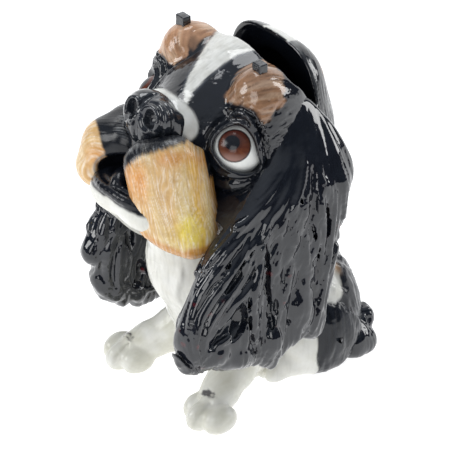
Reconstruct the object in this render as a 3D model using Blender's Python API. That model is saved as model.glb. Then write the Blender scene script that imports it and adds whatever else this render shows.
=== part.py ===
"""Sitting long-eared spaniel figurine: slip-cast, glazed, luted from 17 castings.

World frame: metres, +Z up, the dog looks along -Y, its left side is +X.
The origin is the middle of the bounding box on the ground plane.
Positions in the tables below are millimetres in the sculpting frame, whose
origin is on the ground midway between the front paws (P() converts them).
"""
import math
import bpy
import bmesh
from mathutils import Matrix, Vector, Euler

# ------------------------------------------------------------------ driving dimensions (mm)
MM = 0.001
SHIFT_X = -0.267         # sculpting frame -> world frame
SHIFT_Y = -36.079
GAP = 0.42               # luting gap left round a seated casting
WALL = 5.0               # casting wall

SKULL_C = (0.0, 44.5, 123.5)
SKULL_R = (41.0, 39.8, 46.5)
BROW_C = (27.5, 31.0, 154.0)
BROW_R = (13.5, 13.5, 17.5)
SLOT_HALF_X = (27.0, 33.0)   # crown slot, side to side, at its floor and at its mouth
SLOT_Y = (43.5, 60.0)    # crown slot, front and rear wall
SLOT_Z = (118.0, 150.0)      # its floor, and where the side walls turn upright
HEAD_CAVITY_C = (0.0, 51.5, 124.0)
HEAD_CAVITY_R = (26.0, 23.5, 38.0)

EYE_C = (27.3, 19.2, 135.4)
EYE_R = 12.0
NOSE_C = (0.0, -7.0, 147.0)
NOSE_R = (15.8, 11.0, 12.8)
MOUTH_C = (-6.0, -20.0, 119.0)   # open side of the mouth, scooped out of the right flew
MOUTH_R = (15.0, 15.0, 12.0)

PEG_SIZE = (6.0, 4.5, 7.0)
PEG_C = (28.0, 31.0, 171.0)

VENT_R = 6.0             # vent hole in the base
VENT_Y = 72.0
TORSO_CAVITY_C = (0.0, 62.0, 32.0)
TORSO_CAVITY_R = (20.0, 26.0, 24.0)

PAW_X = 31.4             # front paws, out from the middle
PAW_Z = 8.5


def P(p):
    return Vector(((p[0] + SHIFT_X) * MM, (p[1] + SHIFT_Y) * MM, p[2] * MM))


# ------------------------------------------------------------------ scene and helpers
for o in list(bpy.data.objects):
    bpy.data.objects.remove(o, do_unlink=True)


def material(name, rgb, rough=0.12, coat=0.6):
    m = bpy.data.materials.new(name)
    m.use_nodes = True
    b = m.node_tree.nodes["Principled BSDF"]
    b.inputs["Base Color"].default_value = (rgb[0], rgb[1], rgb[2], 1.0)
    b.inputs["Roughness"].default_value = rough
    b.inputs["Metallic"].default_value = 0.0
    b.inputs["Coat Weight"].default_value = coat
    m.diffuse_color = (rgb[0], rgb[1], rgb[2], 1.0)
    return m


def new_object(name, mesh):
    ob = bpy.data.objects.new(name, mesh)
    bpy.context.scene.collection.objects.link(ob)
    return ob


def bake(ob):
    """Replace the object's mesh by its evaluated one and drop the modifiers."""
    dg = bpy.context.evaluated_depsgraph_get()
    dg.update()
    me = bpy.data.meshes.new_from_object(ob.evaluated_get(dg))
    ob.modifiers.clear()
    ob.data = me
    return ob


def ellipsoids(name, balls, subdiv=3):
    """One object holding overlapping ellipsoids: (centre, radii, (rx, ry, rz) degrees)."""
    bm = bmesh.new()
    for b in balls:
        c, r = b[0], b[1]
        e = b[2] if len(b) > 2 else (0, 0, 0)
        if not hasattr(r, "__len__"):
            r = (r, r, r)
        rot = Euler([math.radians(a) for a in e]).to_matrix().to_4x4()
        mat = Matrix.Translation(P(c)) @ rot @ Matrix.Diagonal((r[0] * MM, r[1] * MM, r[2] * MM, 1))
        bmesh.ops.create_icosphere(bm, subdivisions=subdiv, radius=1.0, matrix=mat)
    me = bpy.data.meshes.new(name)
    bm.to_mesh(me)
    bm.free()
    return new_object(name, me)


def chain(pts, step=2.0):
    """Balls set closely along a bent limb: pts are (x, y, z, radius)."""
    out = []
    for a, b in zip(pts[:-1], pts[1:]):
        d = math.dist(a[:3], b[:3])
        n = max(1, int(d / step))
        for i in range(n):
            t = i / n
            q = [a[k] + (b[k] - a[k]) * t for k in range(4)]
            out.append((q[:3], q[3]))
    out.append((pts[-1][:3], pts[-1][3]))
    return out


def soften(ob, voxel=1.3, smooth=8, tris=600):
    """Fuse the balls into one skin, round the joins and thin the mesh."""
    r = ob.modifiers.new("fuse", "REMESH")
    r.mode = "VOXEL"
    r.voxel_size = voxel * MM
    s = ob.modifiers.new("round", "SMOOTH")
    s.factor = 0.5
    s.iterations = smooth
    bake(ob)
    n = sum(len(p.vertices) - 2 for p in ob.data.polygons)
    d = ob.modifiers.new("thin", "DECIMATE")
    d.ratio = min(1.0, tris / n)
    d.use_collapse_triangulate = True
    bake(ob)
    return ob


def cut(ob, tool, drop=True, union=False):
    m = ob.modifiers.new("cut", "BOOLEAN")
    m.operation = "UNION" if union else "DIFFERENCE"
    m.solver = "EXACT"
    m.object = tool
    bake(ob)
    if drop:
        bpy.data.objects.remove(tool, do_unlink=True)
    return ob


def box(name, lo, hi):
    bm = bmesh.new()
    a, b = P(lo), P(hi)
    c = (a + b) / 2
    s = b - a
    bmesh.ops.create_cube(bm, size=1.0, matrix=Matrix.Translation(c) @ Matrix.Diagonal((s.x, s.y, s.z, 1)))
    me = bpy.data.meshes.new(name)
    bm.to_mesh(me)
    bm.free()
    return new_object(name, me)


def prism(name, profile, y0, y1):
    """A closed outline in the XZ plane, extruded along Y."""
    bm = bmesh.new()
    f = bm.faces.new([bm.verts.new(P((x, y0, z))) for x, z in profile])
    ext = bmesh.ops.extrude_face_region(bm, geom=[f])
    moved = [v for v in ext["geom"] if isinstance(v, bmesh.types.BMVert)]
    bmesh.ops.translate(bm, verts=moved, vec=(0, (y1 - y0) * MM, 0))
    bmesh.ops.recalc_face_normals(bm, faces=bm.faces)
    me = bpy.data.meshes.new(name)
    bm.to_mesh(me)
    bm.free()
    return new_object(name, me)


def cylinder(name, c, r, z0, z1, sides=24):
    bm = bmesh.new()
    p = P((c[0], c[1], (z0 + z1) / 2))
    bmesh.ops.create_cone(bm, cap_ends=True, segments=sides, radius1=r * MM, radius2=r * MM,
                          depth=(z1 - z0) * MM, matrix=Matrix.Translation(p))
    me = bpy.data.meshes.new(name)
    bm.to_mesh(me)
    bm.free()
    return new_object(name, me)


def swollen(ob, d=GAP):
    """A copy grown by the luting gap, to cut a seat for the casting."""
    c = new_object(ob.name + "_seat", ob.data.copy())
    m = c.modifiers.new("grow", "DISPLACE")
    m.strength = d * MM
    m.mid_level = 0.0
    m.direction = "NORMAL"
    return bake(c)


def seat(host, piece, d=GAP):
    cut(host, swollen(piece, d))


def ground(ob):
    """Cut the casting flat on the ground plane."""
    cut(ob, box("below", (-200, -200, -60), (200, 300, 0)))


def mirrored(balls):
    out = []
    for b in balls:
        c = (-b[0][0], b[0][1], b[0][2])
        e = b[2] if len(b) > 2 else (0, 0, 0)
        out.append((c, b[1], (e[0], -e[1], -e[2])))
    return out


def tidy(ob, dist=0.02):
    """Merge the slivers a cut leaves along its edges."""
    bm = bmesh.new()
    bm.from_mesh(ob.data)
    bmesh.ops.remove_doubles(bm, verts=bm.verts, dist=dist * MM)
    bmesh.ops.dissolve_degenerate(bm, edges=bm.edges, dist=dist * MM)
    bmesh.ops.triangulate(bm, faces=bm.faces)
    bm.to_mesh(ob.data)
    bm.free()


# ------------------------------------------------------------------ balls of clay, left side where paired
HEAD = [
    (SKULL_C, SKULL_R),
    ((0, 24, 128), (33, 26, 34)),               # face mass under the eyes
    ((0, 4, 134), (21, 20, 22)),                # muzzle block
    ((0, 0.3, 145.5), (18.4, 10.6, 10.3)),      # rolled bridge behind the nose
    ((0, 6, 112), (20, 18, 20)),                # lower muzzle
    ((0, 60, 150), (20, 14, 18.5)),             # rear of the crown, behind the slot
    ((13, 60, 149), (15, 14, 17.5)),
    ((-15, 60, 149), (16, 14, 17.5)),
]
BROW = [(BROW_C, BROW_R), ((29, 30, 141), (13, 15, 17)), ((29, 26, 120), (14, 17, 16))]
FLEW = [
    ((15, -9, 129.5), (12, 12, 12)),
    ((22, -4, 131), (12, 10, 12)),
    ((21, -13, 123), (15.5, 14.5, 17)),
    ((27, -9.5, 109.5), (15, 13.8, 17)),
    ((12, -18, 128), (9.5, 11.5, 14)),
    ((19, -17, 113), (10, 10, 14)),
]
RIGHT_FLEW = [                              # curls up shorter, so the mouth shows on this side
    ((-15, -9, 130), (12, 12, 12.5)),
    ((-22, -4, 131), (12, 10, 12)),
    ((-24, -13, 124), (13.5, 14, 15)),
    ((-27.5, -15.5, 115), (11.5, 12, 12)),
]
JAW = [
    ((0, -16, 112), (19, 13.5, 11)),
    ((12.5, -18, 110), (12.5, 11.3, 9)),
    ((-12.5, -18, 110), (12.5, 11.3, 9)),
    ((0, -8, 104), (19, 15, 14)),
    ((0, 4, 98), (18, 15, 13)),
]
EAR_ROOT = [((44, 47, 128), (8.5, 18, 21), (0, -4, 0))]
EAR = [
    ((45.5, 42, 112), (10, 31, 27)),
    ((48, 24, 88), (9.5, 43, 25), (20, 0, 0)),
    ((48, 14, 62), (9.5, 39, 27), (20, 0, 0)),
    ((48.5, -12, 66), (8.5, 15, 22)),
    ((48, 42, 84), (8.5, 19, 26)),
    ((48, 37, 56), (8.5, 17, 26)),
]
RIGHT_EAR = [                               # hangs further back and lower than the left
    ((-45.5, 45, 108), (10, 29, 26)),
    ((-47.5, 34, 83), (9.5, 37, 24), (20, 0, 0)),
    ((-47.5, 24, 53), (9.5, 38, 26), (20, 0, 0)),
    ((-48, -1, 54), (8.5, 15, 19)),
    ((-48, 47, 80), (8.5, 17, 26)),
    ((-48, 42, 50), (8.5, 17, 26)),
]
TORSO = chain([(0, 12, 84, 19), (0, 18, 66, 21.5), (0, 34, 40, 26), (0, 40, 24, 26)], 4) + [
    ((0, 66, 34), (28, 30, 32)),
    ((0, 48, 52), (25, 28, 30), (30, 0, 0)),
    ((0, 76, 14), (29, 26, 24)),
    ((15, 77, 31), (16, 18, 23)),               # rump corners
    ((-15, 77, 31), (16, 18, 23)),
]
FRONT_LEG = chain([(17, 30, 24, 12.5), (21, 22, 17, 10.5), (27, 10, 11.5, 8.8), (30, 3, 9, 8.0)], 1.5) + [
    ((PAW_X - 7.0, 0.5, 5.5), (6.2, 9.0, 7.2)),
    ((PAW_X, -1.5, 5.8), (6.6, 10.5, 7.8)),
    ((PAW_X + 7.0, 0.5, 5.5), (6.2, 9.0, 7.2)),
]
HIND_LEG = [
    ((25, 70, 21), (12, 21, 21)),
    ((20.5, 58, 8), (8.5, 14, 9)),
    ((17, 48, 5.5), (8.2, 9, 7.2)),
]
TAIL = chain([(12, 88, 12, 12), (20, 90, 9, 12), (25, 89, 8, 11)], 2) + [
    ((22, 92, 16), (9, 9, 12)),
]

# ------------------------------------------------------------------ make the castings
CREAM = (0.80, 0.79, 0.74)
BLACK = (0.012, 0.012, 0.014)
TAN = (0.55, 0.30, 0.12)

head = ellipsoids("head_shell", HEAD + BROW + mirrored(BROW))
soften(head, 1.3, 8, 1100)

castings = {}
castings["left_flew"] = soften(ellipsoids("left_flew", FLEW, 2), 1.0, 6, 300)
castings["right_flew"] = soften(ellipsoids("right_flew", RIGHT_FLEW, 2), 1.0, 6, 300)
cut(castings["right_flew"], ellipsoids("mouth", [(MOUTH_C, MOUTH_R)], 3))
for nm, balls, n in (("front_leg", FRONT_LEG, 340), ("hind_leg", HIND_LEG, 240)):
    castings["left_" + nm] = soften(ellipsoids("left_" + nm, balls, 2), 1.0, 6, n)
    castings["right_" + nm] = soften(ellipsoids("right_" + nm, mirrored(balls), 2), 1.0, 6, n)
castings["left_ear"] = soften(ellipsoids("left_ear", EAR_ROOT + EAR, 3), 1.2, 6, 480)
castings["right_ear"] = soften(ellipsoids("right_ear", mirrored(EAR_ROOT) + RIGHT_EAR, 3), 1.2, 6, 480)

jaw = soften(ellipsoids("lower_jaw", JAW, 2), 1.0, 6, 300)
nose = soften(ellipsoids("nose", [(NOSE_C, NOSE_R), ((0, -8, 145), (10, 8, 10))], 3), 1.0, 3, 240)
torso = soften(ellipsoids("torso", TORSO, 2), 1.5, 10, 560)
tail = soften(ellipsoids("tail", TAIL, 2), 1.2, 6, 240)
eye_l = ellipsoids("left_eye", [(EYE_C, EYE_R)], 3)
eye_r = ellipsoids("right_eye", mirrored([(EYE_C, EYE_R)]), 3)


def peg(name, sx):
    c = (PEG_C[0] * sx, PEG_C[1], PEG_C[2])
    h = [s / 2 for s in PEG_SIZE]
    ob = box(name, tuple(c[k] - h[k] for k in range(3)), tuple(c[k] + h[k] for k in range(3)))
    b = ob.modifiers.new("edge", "BEVEL")
    b.width = 0.6 * MM
    b.segments = 1
    return bake(ob)


peg_l, peg_r = peg("left_peg", 1), peg("right_peg", -1)

# ------------------------------------------------------------------ hollow the two big castings
cavity = soften(ellipsoids("cavity", [(HEAD_CAVITY_C, HEAD_CAVITY_R)], 3), 1.6, 2, 260)
a, b = SLOT_HALF_X
cut(cavity, prism("slot", [(-a, SLOT_Z[0]), (a, SLOT_Z[0]), (b, SLOT_Z[1]), (b, 200), (-b, 200), (-b, SLOT_Z[1])],
                  SLOT_Y[0], SLOT_Y[1]), union=True)
cut(head, cavity)

hollow = soften(ellipsoids("hollow", [(TORSO_CAVITY_C, TORSO_CAVITY_R)], 3), 1.6, 2, 200)
cut(hollow, cylinder("vent", (0, VENT_Y), VENT_R, -5, 30), union=True)
cut(torso, hollow)

# ------------------------------------------------------------------ flat feet, then seats with the luting gap
for ob in (torso, tail, castings["left_front_leg"], castings["right_front_leg"], castings["left_hind_leg"], castings["right_hind_leg"]):
    ground(ob)

for side in ("left_", "right_"):
    seat(head, castings[side + "ear"])
    seat(head, castings[side + "flew"])
    seat(torso, castings[side + "ear"])
    seat(castings[side + "front_leg"], castings[side + "ear"])
    seat(castings[side + "hind_leg"], castings[side + "ear"])
    seat(torso, castings[side + "front_leg"])
    seat(torso, castings[side + "hind_leg"])
seat(castings["left_flew"], castings["right_flew"])
seat(castings["left_flew"], nose)
seat(castings["right_flew"], nose)
seat(head, nose)
seat(jaw, castings["left_flew"])
seat(jaw, castings["right_flew"])
seat(head, jaw)
seat(torso, jaw)
seat(head, torso)
seat(head, eye_l)
seat(head, eye_r)
seat(head, peg_l)
seat(head, peg_r)
seat(castings["left_hind_leg"], castings["left_front_leg"])
seat(castings["right_hind_leg"], castings["right_front_leg"])
seat(castings["left_hind_leg"], tail)
seat(torso, tail)
seat(castings["left_ear"], castings["left_flew"])
seat(castings["right_ear"], castings["right_flew"])

for ob in bpy.data.objects:
    tidy(ob)

COLOURS = {
    "torso": CREAM, "head_shell": BLACK, "lower_jaw": CREAM, "nose": BLACK, "tail": BLACK,
    "left_eye": (0.30, 0.09, 0.05), "right_eye": (0.30, 0.09, 0.05),
    "left_flew": TAN, "right_flew": TAN, "left_ear": BLACK, "right_ear": BLACK,
    "left_front_leg": CREAM, "right_front_leg": CREAM,
    "left_hind_leg": CREAM, "right_hind_leg": CREAM,
    "left_peg": BLACK, "right_peg": BLACK,
}
for name, rgb in COLOURS.items():
    ob = bpy.data.objects[name]
    ob.data.materials.clear()
    ob.data.materials.append(material(name + "_glaze", rgb))
    ob.data.shade_smooth()
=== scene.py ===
"""Looks for the sitting spaniel figurine: every casting is re-sculpted at fine detail
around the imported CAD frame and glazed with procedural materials.

Sculpting frame: millimetres, origin on the ground midway between the front paws,
X = the dog's left, Y = back, Z = up. row() turns it into the row frame in metres.
"""
import math

import bpy
import numpy as np
from mathutils import Euler, Matrix, Vector


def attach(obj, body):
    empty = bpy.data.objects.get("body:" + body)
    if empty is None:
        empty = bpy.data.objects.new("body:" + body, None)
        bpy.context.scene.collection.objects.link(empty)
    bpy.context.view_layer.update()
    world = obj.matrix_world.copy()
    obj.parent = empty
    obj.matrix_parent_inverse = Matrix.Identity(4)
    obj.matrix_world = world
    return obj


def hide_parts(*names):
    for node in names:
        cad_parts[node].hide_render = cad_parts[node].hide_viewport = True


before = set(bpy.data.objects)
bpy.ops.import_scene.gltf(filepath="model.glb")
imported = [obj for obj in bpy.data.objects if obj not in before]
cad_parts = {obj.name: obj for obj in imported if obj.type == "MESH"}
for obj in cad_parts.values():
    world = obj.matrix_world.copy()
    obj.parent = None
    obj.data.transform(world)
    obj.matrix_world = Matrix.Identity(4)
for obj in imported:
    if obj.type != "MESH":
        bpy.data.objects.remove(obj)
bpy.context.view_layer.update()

SX, SY = -0.267, -36.079
FINE = 1.36         # voxel multiplier, coarser while trying things


def row(v):
    v = np.asarray(v, float)
    return (v + np.array([SX, SY, 0.0])) * 0.001


# ------------------------------------------------------------------ camera frame (sculpting mm)
AZ, EL = math.radians(53.0), math.radians(31.0)
BACK = np.array([math.sin(AZ) * math.cos(EL), -math.cos(AZ) * math.cos(EL), math.sin(EL)])
RIGHT = np.array([math.cos(AZ), math.sin(AZ), 0.0])
UP = np.cross(BACK, RIGHT)
TARGET = np.array([-15.8694, 45.0774, 66.2419])
DIST = 1610.0


# ------------------------------------------------------------------ noise
def _hash(ix, iy, iz, seed):
    n = (ix * 73856093) ^ (iy * 19349663) ^ (iz * 83492791) ^ (seed * 2654435)
    n = (n ^ (n >> 13)) * 1274126177
    n = n & 0x7FFFFFFF
    n = (n ^ (n >> 15)) * 2246822519
    return ((n >> 8) & 0xFFFF) / 32767.5 - 1.0


def noise(x, y, z=0.0, seed=1):
    """Smooth value noise in -1..1."""
    x, y, z = np.broadcast_arrays(np.asarray(x, float), np.asarray(y, float), np.asarray(z, float))
    ix, iy, iz = np.floor(x).astype(np.int64), np.floor(y).astype(np.int64), np.floor(z).astype(np.int64)
    fx, fy, fz = x - ix, y - iy, z - iz
    fx, fy, fz = [t * t * t * (t * (t * 6 - 15) + 10) for t in (fx, fy, fz)]
    out = 0
    for dx in (0, 1):
        for dy in (0, 1):
            for dz in (0, 1):
                w = (fx if dx else 1 - fx) * (fy if dy else 1 - fy) * (fz if dz else 1 - fz)
                out = out + w * _hash(ix + dx, iy + dy, iz + dz, seed)
    return out


def fbm(x, y, z=0.0, seed=1, n=3):
    a, s, t = 1.0, 0.0, 0.0
    for i in range(n):
        s = s + a * noise(x * 2 ** i, y * 2 ** i, np.asarray(z) * 2 ** i, seed + 17 * i)
        t += a
        a *= 0.5
    return s / t


def ridge(n, sharp=1.0):
    """Turn noise into rounded ridges with narrow grooves, 0..1."""
    return 1.0 - np.abs(n) ** sharp


def sstep(a, b, x):
    t = np.clip((x - a) / (b - a), 0, 1)
    return t * t * (3 - 2 * t)


def mixc(a, b, t):
    t = np.asarray(t)[..., None]
    return np.asarray(a) * (1 - t) + np.asarray(b) * t


# ------------------------------------------------------------------ clay: signed distance grid
def smin(a, b, k):
    if k <= 0:
        return np.minimum(a, b)
    h = np.maximum(k - np.abs(a - b), 0) / k
    return np.minimum(a, b) - h * h * k * 0.25


def smax(a, b, k):
    return -smin(-a, -b, k)


def d_ball(c, r, e=(0, 0, 0)):
    """Distance function and box of an ellipsoid."""
    if not hasattr(r, "__len__"):
        r = (r, r, r)
    R = np.array(Euler([math.radians(a) for a in e]).to_matrix())
    ext = np.sqrt(((R * np.array(r)[None, :]) ** 2).sum(1))

    def f(X, Y, Z):
        x, y, z = X - c[0], Y - c[1], Z - c[2]
        if any(e):
            q = [R[0, i] * x + R[1, i] * y + R[2, i] * z for i in range(3)]
        else:
            q = [x, y, z]
        a = np.sqrt((q[0] / r[0]) ** 2 + (q[1] / r[1]) ** 2 + (q[2] / r[2]) ** 2) + 1e-6
        b = np.sqrt((q[0] / r[0] ** 2) ** 2 + (q[1] / r[1] ** 2) ** 2 + (q[2] / r[2] ** 2) ** 2) + 1e-6
        return a * (a - 1) / b
    return f, np.array(c) - ext, np.array(c) + ext


def d_seg(a, b, ra, rb, flat=None):
    """Round cone from a to b; flat = (unit normal, ratio) squashes it along a normal."""
    a, b = np.array(a, float), np.array(b, float)
    ab = b - a
    L = float(ab @ ab) + 1e-9
    m = max(ra, rb)

    def f(X, Y, Z):
        x, y, z = X - a[0], Y - a[1], Z - a[2]
        t = np.clip((x * ab[0] + y * ab[1] + z * ab[2]) / L, 0, 1)
        x, y, z = x - t * ab[0], y - t * ab[1], z - t * ab[2]
        r = ra + (rb - ra) * t
        d2 = x * x + y * y + z * z
        if flat is not None:
            n, q = flat
            s = x * n[0] + y * n[1] + z * n[2]
            d2 = d2 + s * s * (1.0 / (q * q) - 1.0)
            return (np.sqrt(d2) - r) * (0.5 + 0.5 * q)
        return np.sqrt(d2) - r
    return f, np.minimum(a, b) - m, np.maximum(a, b) + m


class Clay:
    def __init__(self, lo, hi, h):
        self.lo = np.array(lo, float)
        self.h = h * FINE
        self.n = np.ceil((np.array(hi, float) - self.lo) / self.h).astype(int) + 1
        self.f = np.full(self.n, 50.0, np.float32)
        self.ax = [(self.lo[i] + self.h * np.arange(self.n[i])).astype(np.float32) for i in range(3)]

    def part(self, lo, hi, pad):
        sl = []
        for i in range(3):
            a = int(math.floor((lo[i] - pad - self.lo[i]) / self.h))
            b = int(math.ceil((hi[i] + pad - self.lo[i]) / self.h)) + 1
            sl.append(slice(max(0, a), max(0, min(int(self.n[i]), b))))
        sl = tuple(sl)
        return sl, self.ax[0][sl[0]][:, None, None], self.ax[1][sl[1]][None, :, None], self.ax[2][sl[2]][None, None, :]

    def add(self, prim, k=3.0):
        f, lo, hi = prim
        sl, X, Y, Z = self.part(lo, hi, k + 2.0)
        if self.f[sl].size:
            self.f[sl] = smin(self.f[sl], f(X, Y, Z).astype(np.float32), k)

    def cut(self, prim, k=1.0):
        f, lo, hi = prim
        sl, X, Y, Z = self.part(lo, hi, k + 2.0)
        if self.f[sl].size:
            self.f[sl] = smax(self.f[sl], -f(X, Y, Z).astype(np.float32), k)

    def warp(self, func):
        """Add func(X, Y, Z) to the distance field within 6 mm of the surface (func > 0 carves)."""
        X, Y, Z = self.ax[0][:, None, None], self.ax[1][None, :, None], self.ax[2][None, None, :]
        near = np.abs(self.f) < 6.0
        idx = np.nonzero(near)
        v = func(self.ax[0][idx[0]].astype(float), self.ax[1][idx[1]].astype(float), self.ax[2][idx[2]].astype(float))
        self.f[idx] += v.astype(np.float32)

    def at(self, P):
        """Trilinear value of the field at points P."""
        q = (P - self.lo) / self.h
        i = np.clip(np.floor(q).astype(int), 0, self.n - 2)
        t = q - i
        out = 0
        for dx in (0, 1):
            for dy in (0, 1):
                for dz in (0, 1):
                    w = (t[:, 0] if dx else 1 - t[:, 0]) * (t[:, 1] if dy else 1 - t[:, 1]) * (t[:, 2] if dz else 1 - t[:, 2])
                    out = out + w * self.f[i[:, 0] + dx, i[:, 1] + dy, i[:, 2] + dz]
        return out


CORN = np.array([(0, 0, 0), (1, 0, 0), (0, 1, 0), (1, 1, 0), (0, 0, 1), (1, 0, 1), (0, 1, 1), (1, 1, 1)])
EDG = [(0, 1), (2, 3), (4, 5), (6, 7), (0, 2), (1, 3), (4, 6), (5, 7), (0, 4), (1, 5), (2, 6), (3, 7)]


def nets(c):
    """Surface nets over a Clay grid: vertices (mm) and quads."""
    f = c.f
    neg = f < 0
    n = np.array(f.shape)
    s = np.zeros(n - 1, np.int8)
    for d in CORN:
        s += neg[d[0]:n[0] - 1 + d[0], d[1]:n[1] - 1 + d[1], d[2]:n[2] - 1 + d[2]]
    act = (s > 0) & (s < 8)
    ii = np.argwhere(act)
    idx = np.full(act.shape, -1, np.int32)
    idx[act] = np.arange(len(ii), dtype=np.int32)
    vals = np.stack([f[ii[:, 0] + d[0], ii[:, 1] + d[1], ii[:, 2] + d[2]] for d in CORN], 1)
    acc = np.zeros((len(ii), 3))
    cnt = np.zeros(len(ii))
    for a, b in EDG:
        va, vb = vals[:, a], vals[:, b]
        m = (va < 0) != (vb < 0)
        t = np.where(m, va / np.where(m, va - vb, 1), 0)
        acc += (CORN[a] + (CORN[b] - CORN[a]) * t[:, None]) * m[:, None]
        cnt += m
    v = c.lo + c.h * (ii + acc / cnt[:, None])
    quads = []
    for ax in range(3):
        o1, o2 = (ax + 1) % 3, (ax + 2) % 3
        sa = [slice(None)] * 3
        sb = [slice(None)] * 3
        sa[ax], sb[ax] = slice(0, -1), slice(1, None)
        A, B = neg[tuple(sa)], neg[tuple(sb)]
        e = np.argwhere(A != B)
        ok = (e[:, o1] >= 1) & (e[:, o2] >= 1) & (e[:, o1] <= n[o1] - 2) & (e[:, o2] <= n[o2] - 2)
        e = e[ok]
        ins = A[e[:, 0], e[:, 1], e[:, 2]]
        u1, u2 = np.eye(3, dtype=int)[o1], np.eye(3, dtype=int)[o2]
        q = np.stack([idx[tuple((e - d).T)] for d in (0 * u1, u1, u1 + u2, u2)], 1)
        q[~ins] = q[~ins][:, ::-1]
        quads.append(q)
    q = np.concatenate(quads)
    return v, q[(q >= 0).all(1)]


def relax(v, q, it=2, lam=0.5, mu=-0.52):
    """Taubin smoothing."""
    e = np.concatenate([q[:, [0, 1]], q[:, [1, 2]], q[:, [2, 3]], q[:, [3, 0]]])
    a = np.concatenate([e[:, 0], e[:, 1]])
    b = np.concatenate([e[:, 1], e[:, 0]])
    deg = np.bincount(a, minlength=len(v)).astype(float) + 1e-9
    for i in range(it):
        for s in (lam, mu):
            m = np.stack([np.bincount(a, weights=v[b, k], minlength=len(v)) for k in range(3)], 1) / deg[:, None]
            v = v + s * (m - v)
    return v


def normals(v, q):
    n = np.cross(v[q[:, 2]] - v[q[:, 0]], v[q[:, 3]] - v[q[:, 1]])
    out = np.zeros_like(v)
    for k in range(4):
        for a in range(3):
            out[:, a] += np.bincount(q[:, k], weights=n[:, a], minlength=len(v))
    return out / (np.linalg.norm(out, axis=1, keepdims=True) + 1e-12)


def largest(v, q):
    """Keep only the biggest connected piece."""
    lab = np.arange(len(v))
    e = np.concatenate([q[:, [0, 1]], q[:, [1, 2]], q[:, [2, 3]]])
    for _ in range(400):
        m = np.minimum(lab[e[:, 0]], lab[e[:, 1]])
        new = lab.copy()
        np.minimum.at(new, e[:, 0], m)
        np.minimum.at(new, e[:, 1], m)
        new = new[new]
        if (new == lab).all():
            break
        lab = new
    ids, cnt = np.unique(lab, return_counts=True)
    keep = lab == ids[cnt.argmax()]
    rem = np.cumsum(keep) - 1
    q = q[keep[q].all(1)]
    return v[keep], rem[q]


def strokes(u, v, wu, lv, seed, slant=0.35, width=0.20):
    """Carved marks: one short tapered groove per cell of a jittered lattice, depth 0..1.
    u runs across the hair and v along it."""
    out = np.zeros(np.broadcast(u, v).shape)
    i0 = np.floor(u / wu).astype(np.int64)
    for di in (-1, 0, 1):
        i = i0 + di
        r1 = _hash(i, i * 0 + 7, i * 0, seed)
        vv = v / lv + 0.5 * r1 + 100
        j = np.floor(vv).astype(np.int64)
        fv = vv - j
        r2, r3, r4 = _hash(i, j, i * 0, seed + 1), _hash(i, j, i * 0, seed + 2), _hash(i, j, i * 0, seed + 3)
        cu = u / wu - i - 0.5 - 0.25 * r2 - slant * r3 * (fv - 0.5)
        amp = 0.65 + 0.35 * r4
        out = np.maximum(out, amp * np.exp(-(cu / width) ** 2) * np.sin(np.pi * fv) ** 0.6)
    return out


def spline(pts, m):
    """Catmull-Rom through the points, resampled to m points of equal spacing."""
    pts = np.array(pts, float)
    P = np.vstack([2 * pts[0] - pts[1], pts, 2 * pts[-1] - pts[-2]])
    out = []
    for i in range(1, len(P) - 2):
        p0, p1, p2, p3 = P[i - 1], P[i], P[i + 1], P[i + 2]
        for t in np.linspace(0, 1, 14, endpoint=False):
            out.append(0.5 * (2 * p1 + (p2 - p0) * t + (2 * p0 - 5 * p1 + 4 * p2 - p3) * t * t + (3 * p1 - p0 - 3 * p2 + p3) * t ** 3))
    out.append(P[-2])
    out = np.array(out)
    d = np.r_[0, np.cumsum(np.linalg.norm(np.diff(out, axis=0), axis=1))]
    s = np.linspace(0, d[-1], m)
    return np.stack([np.interp(s, d, out[:, k]) for k in range(out.shape[1])], 1)


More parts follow.
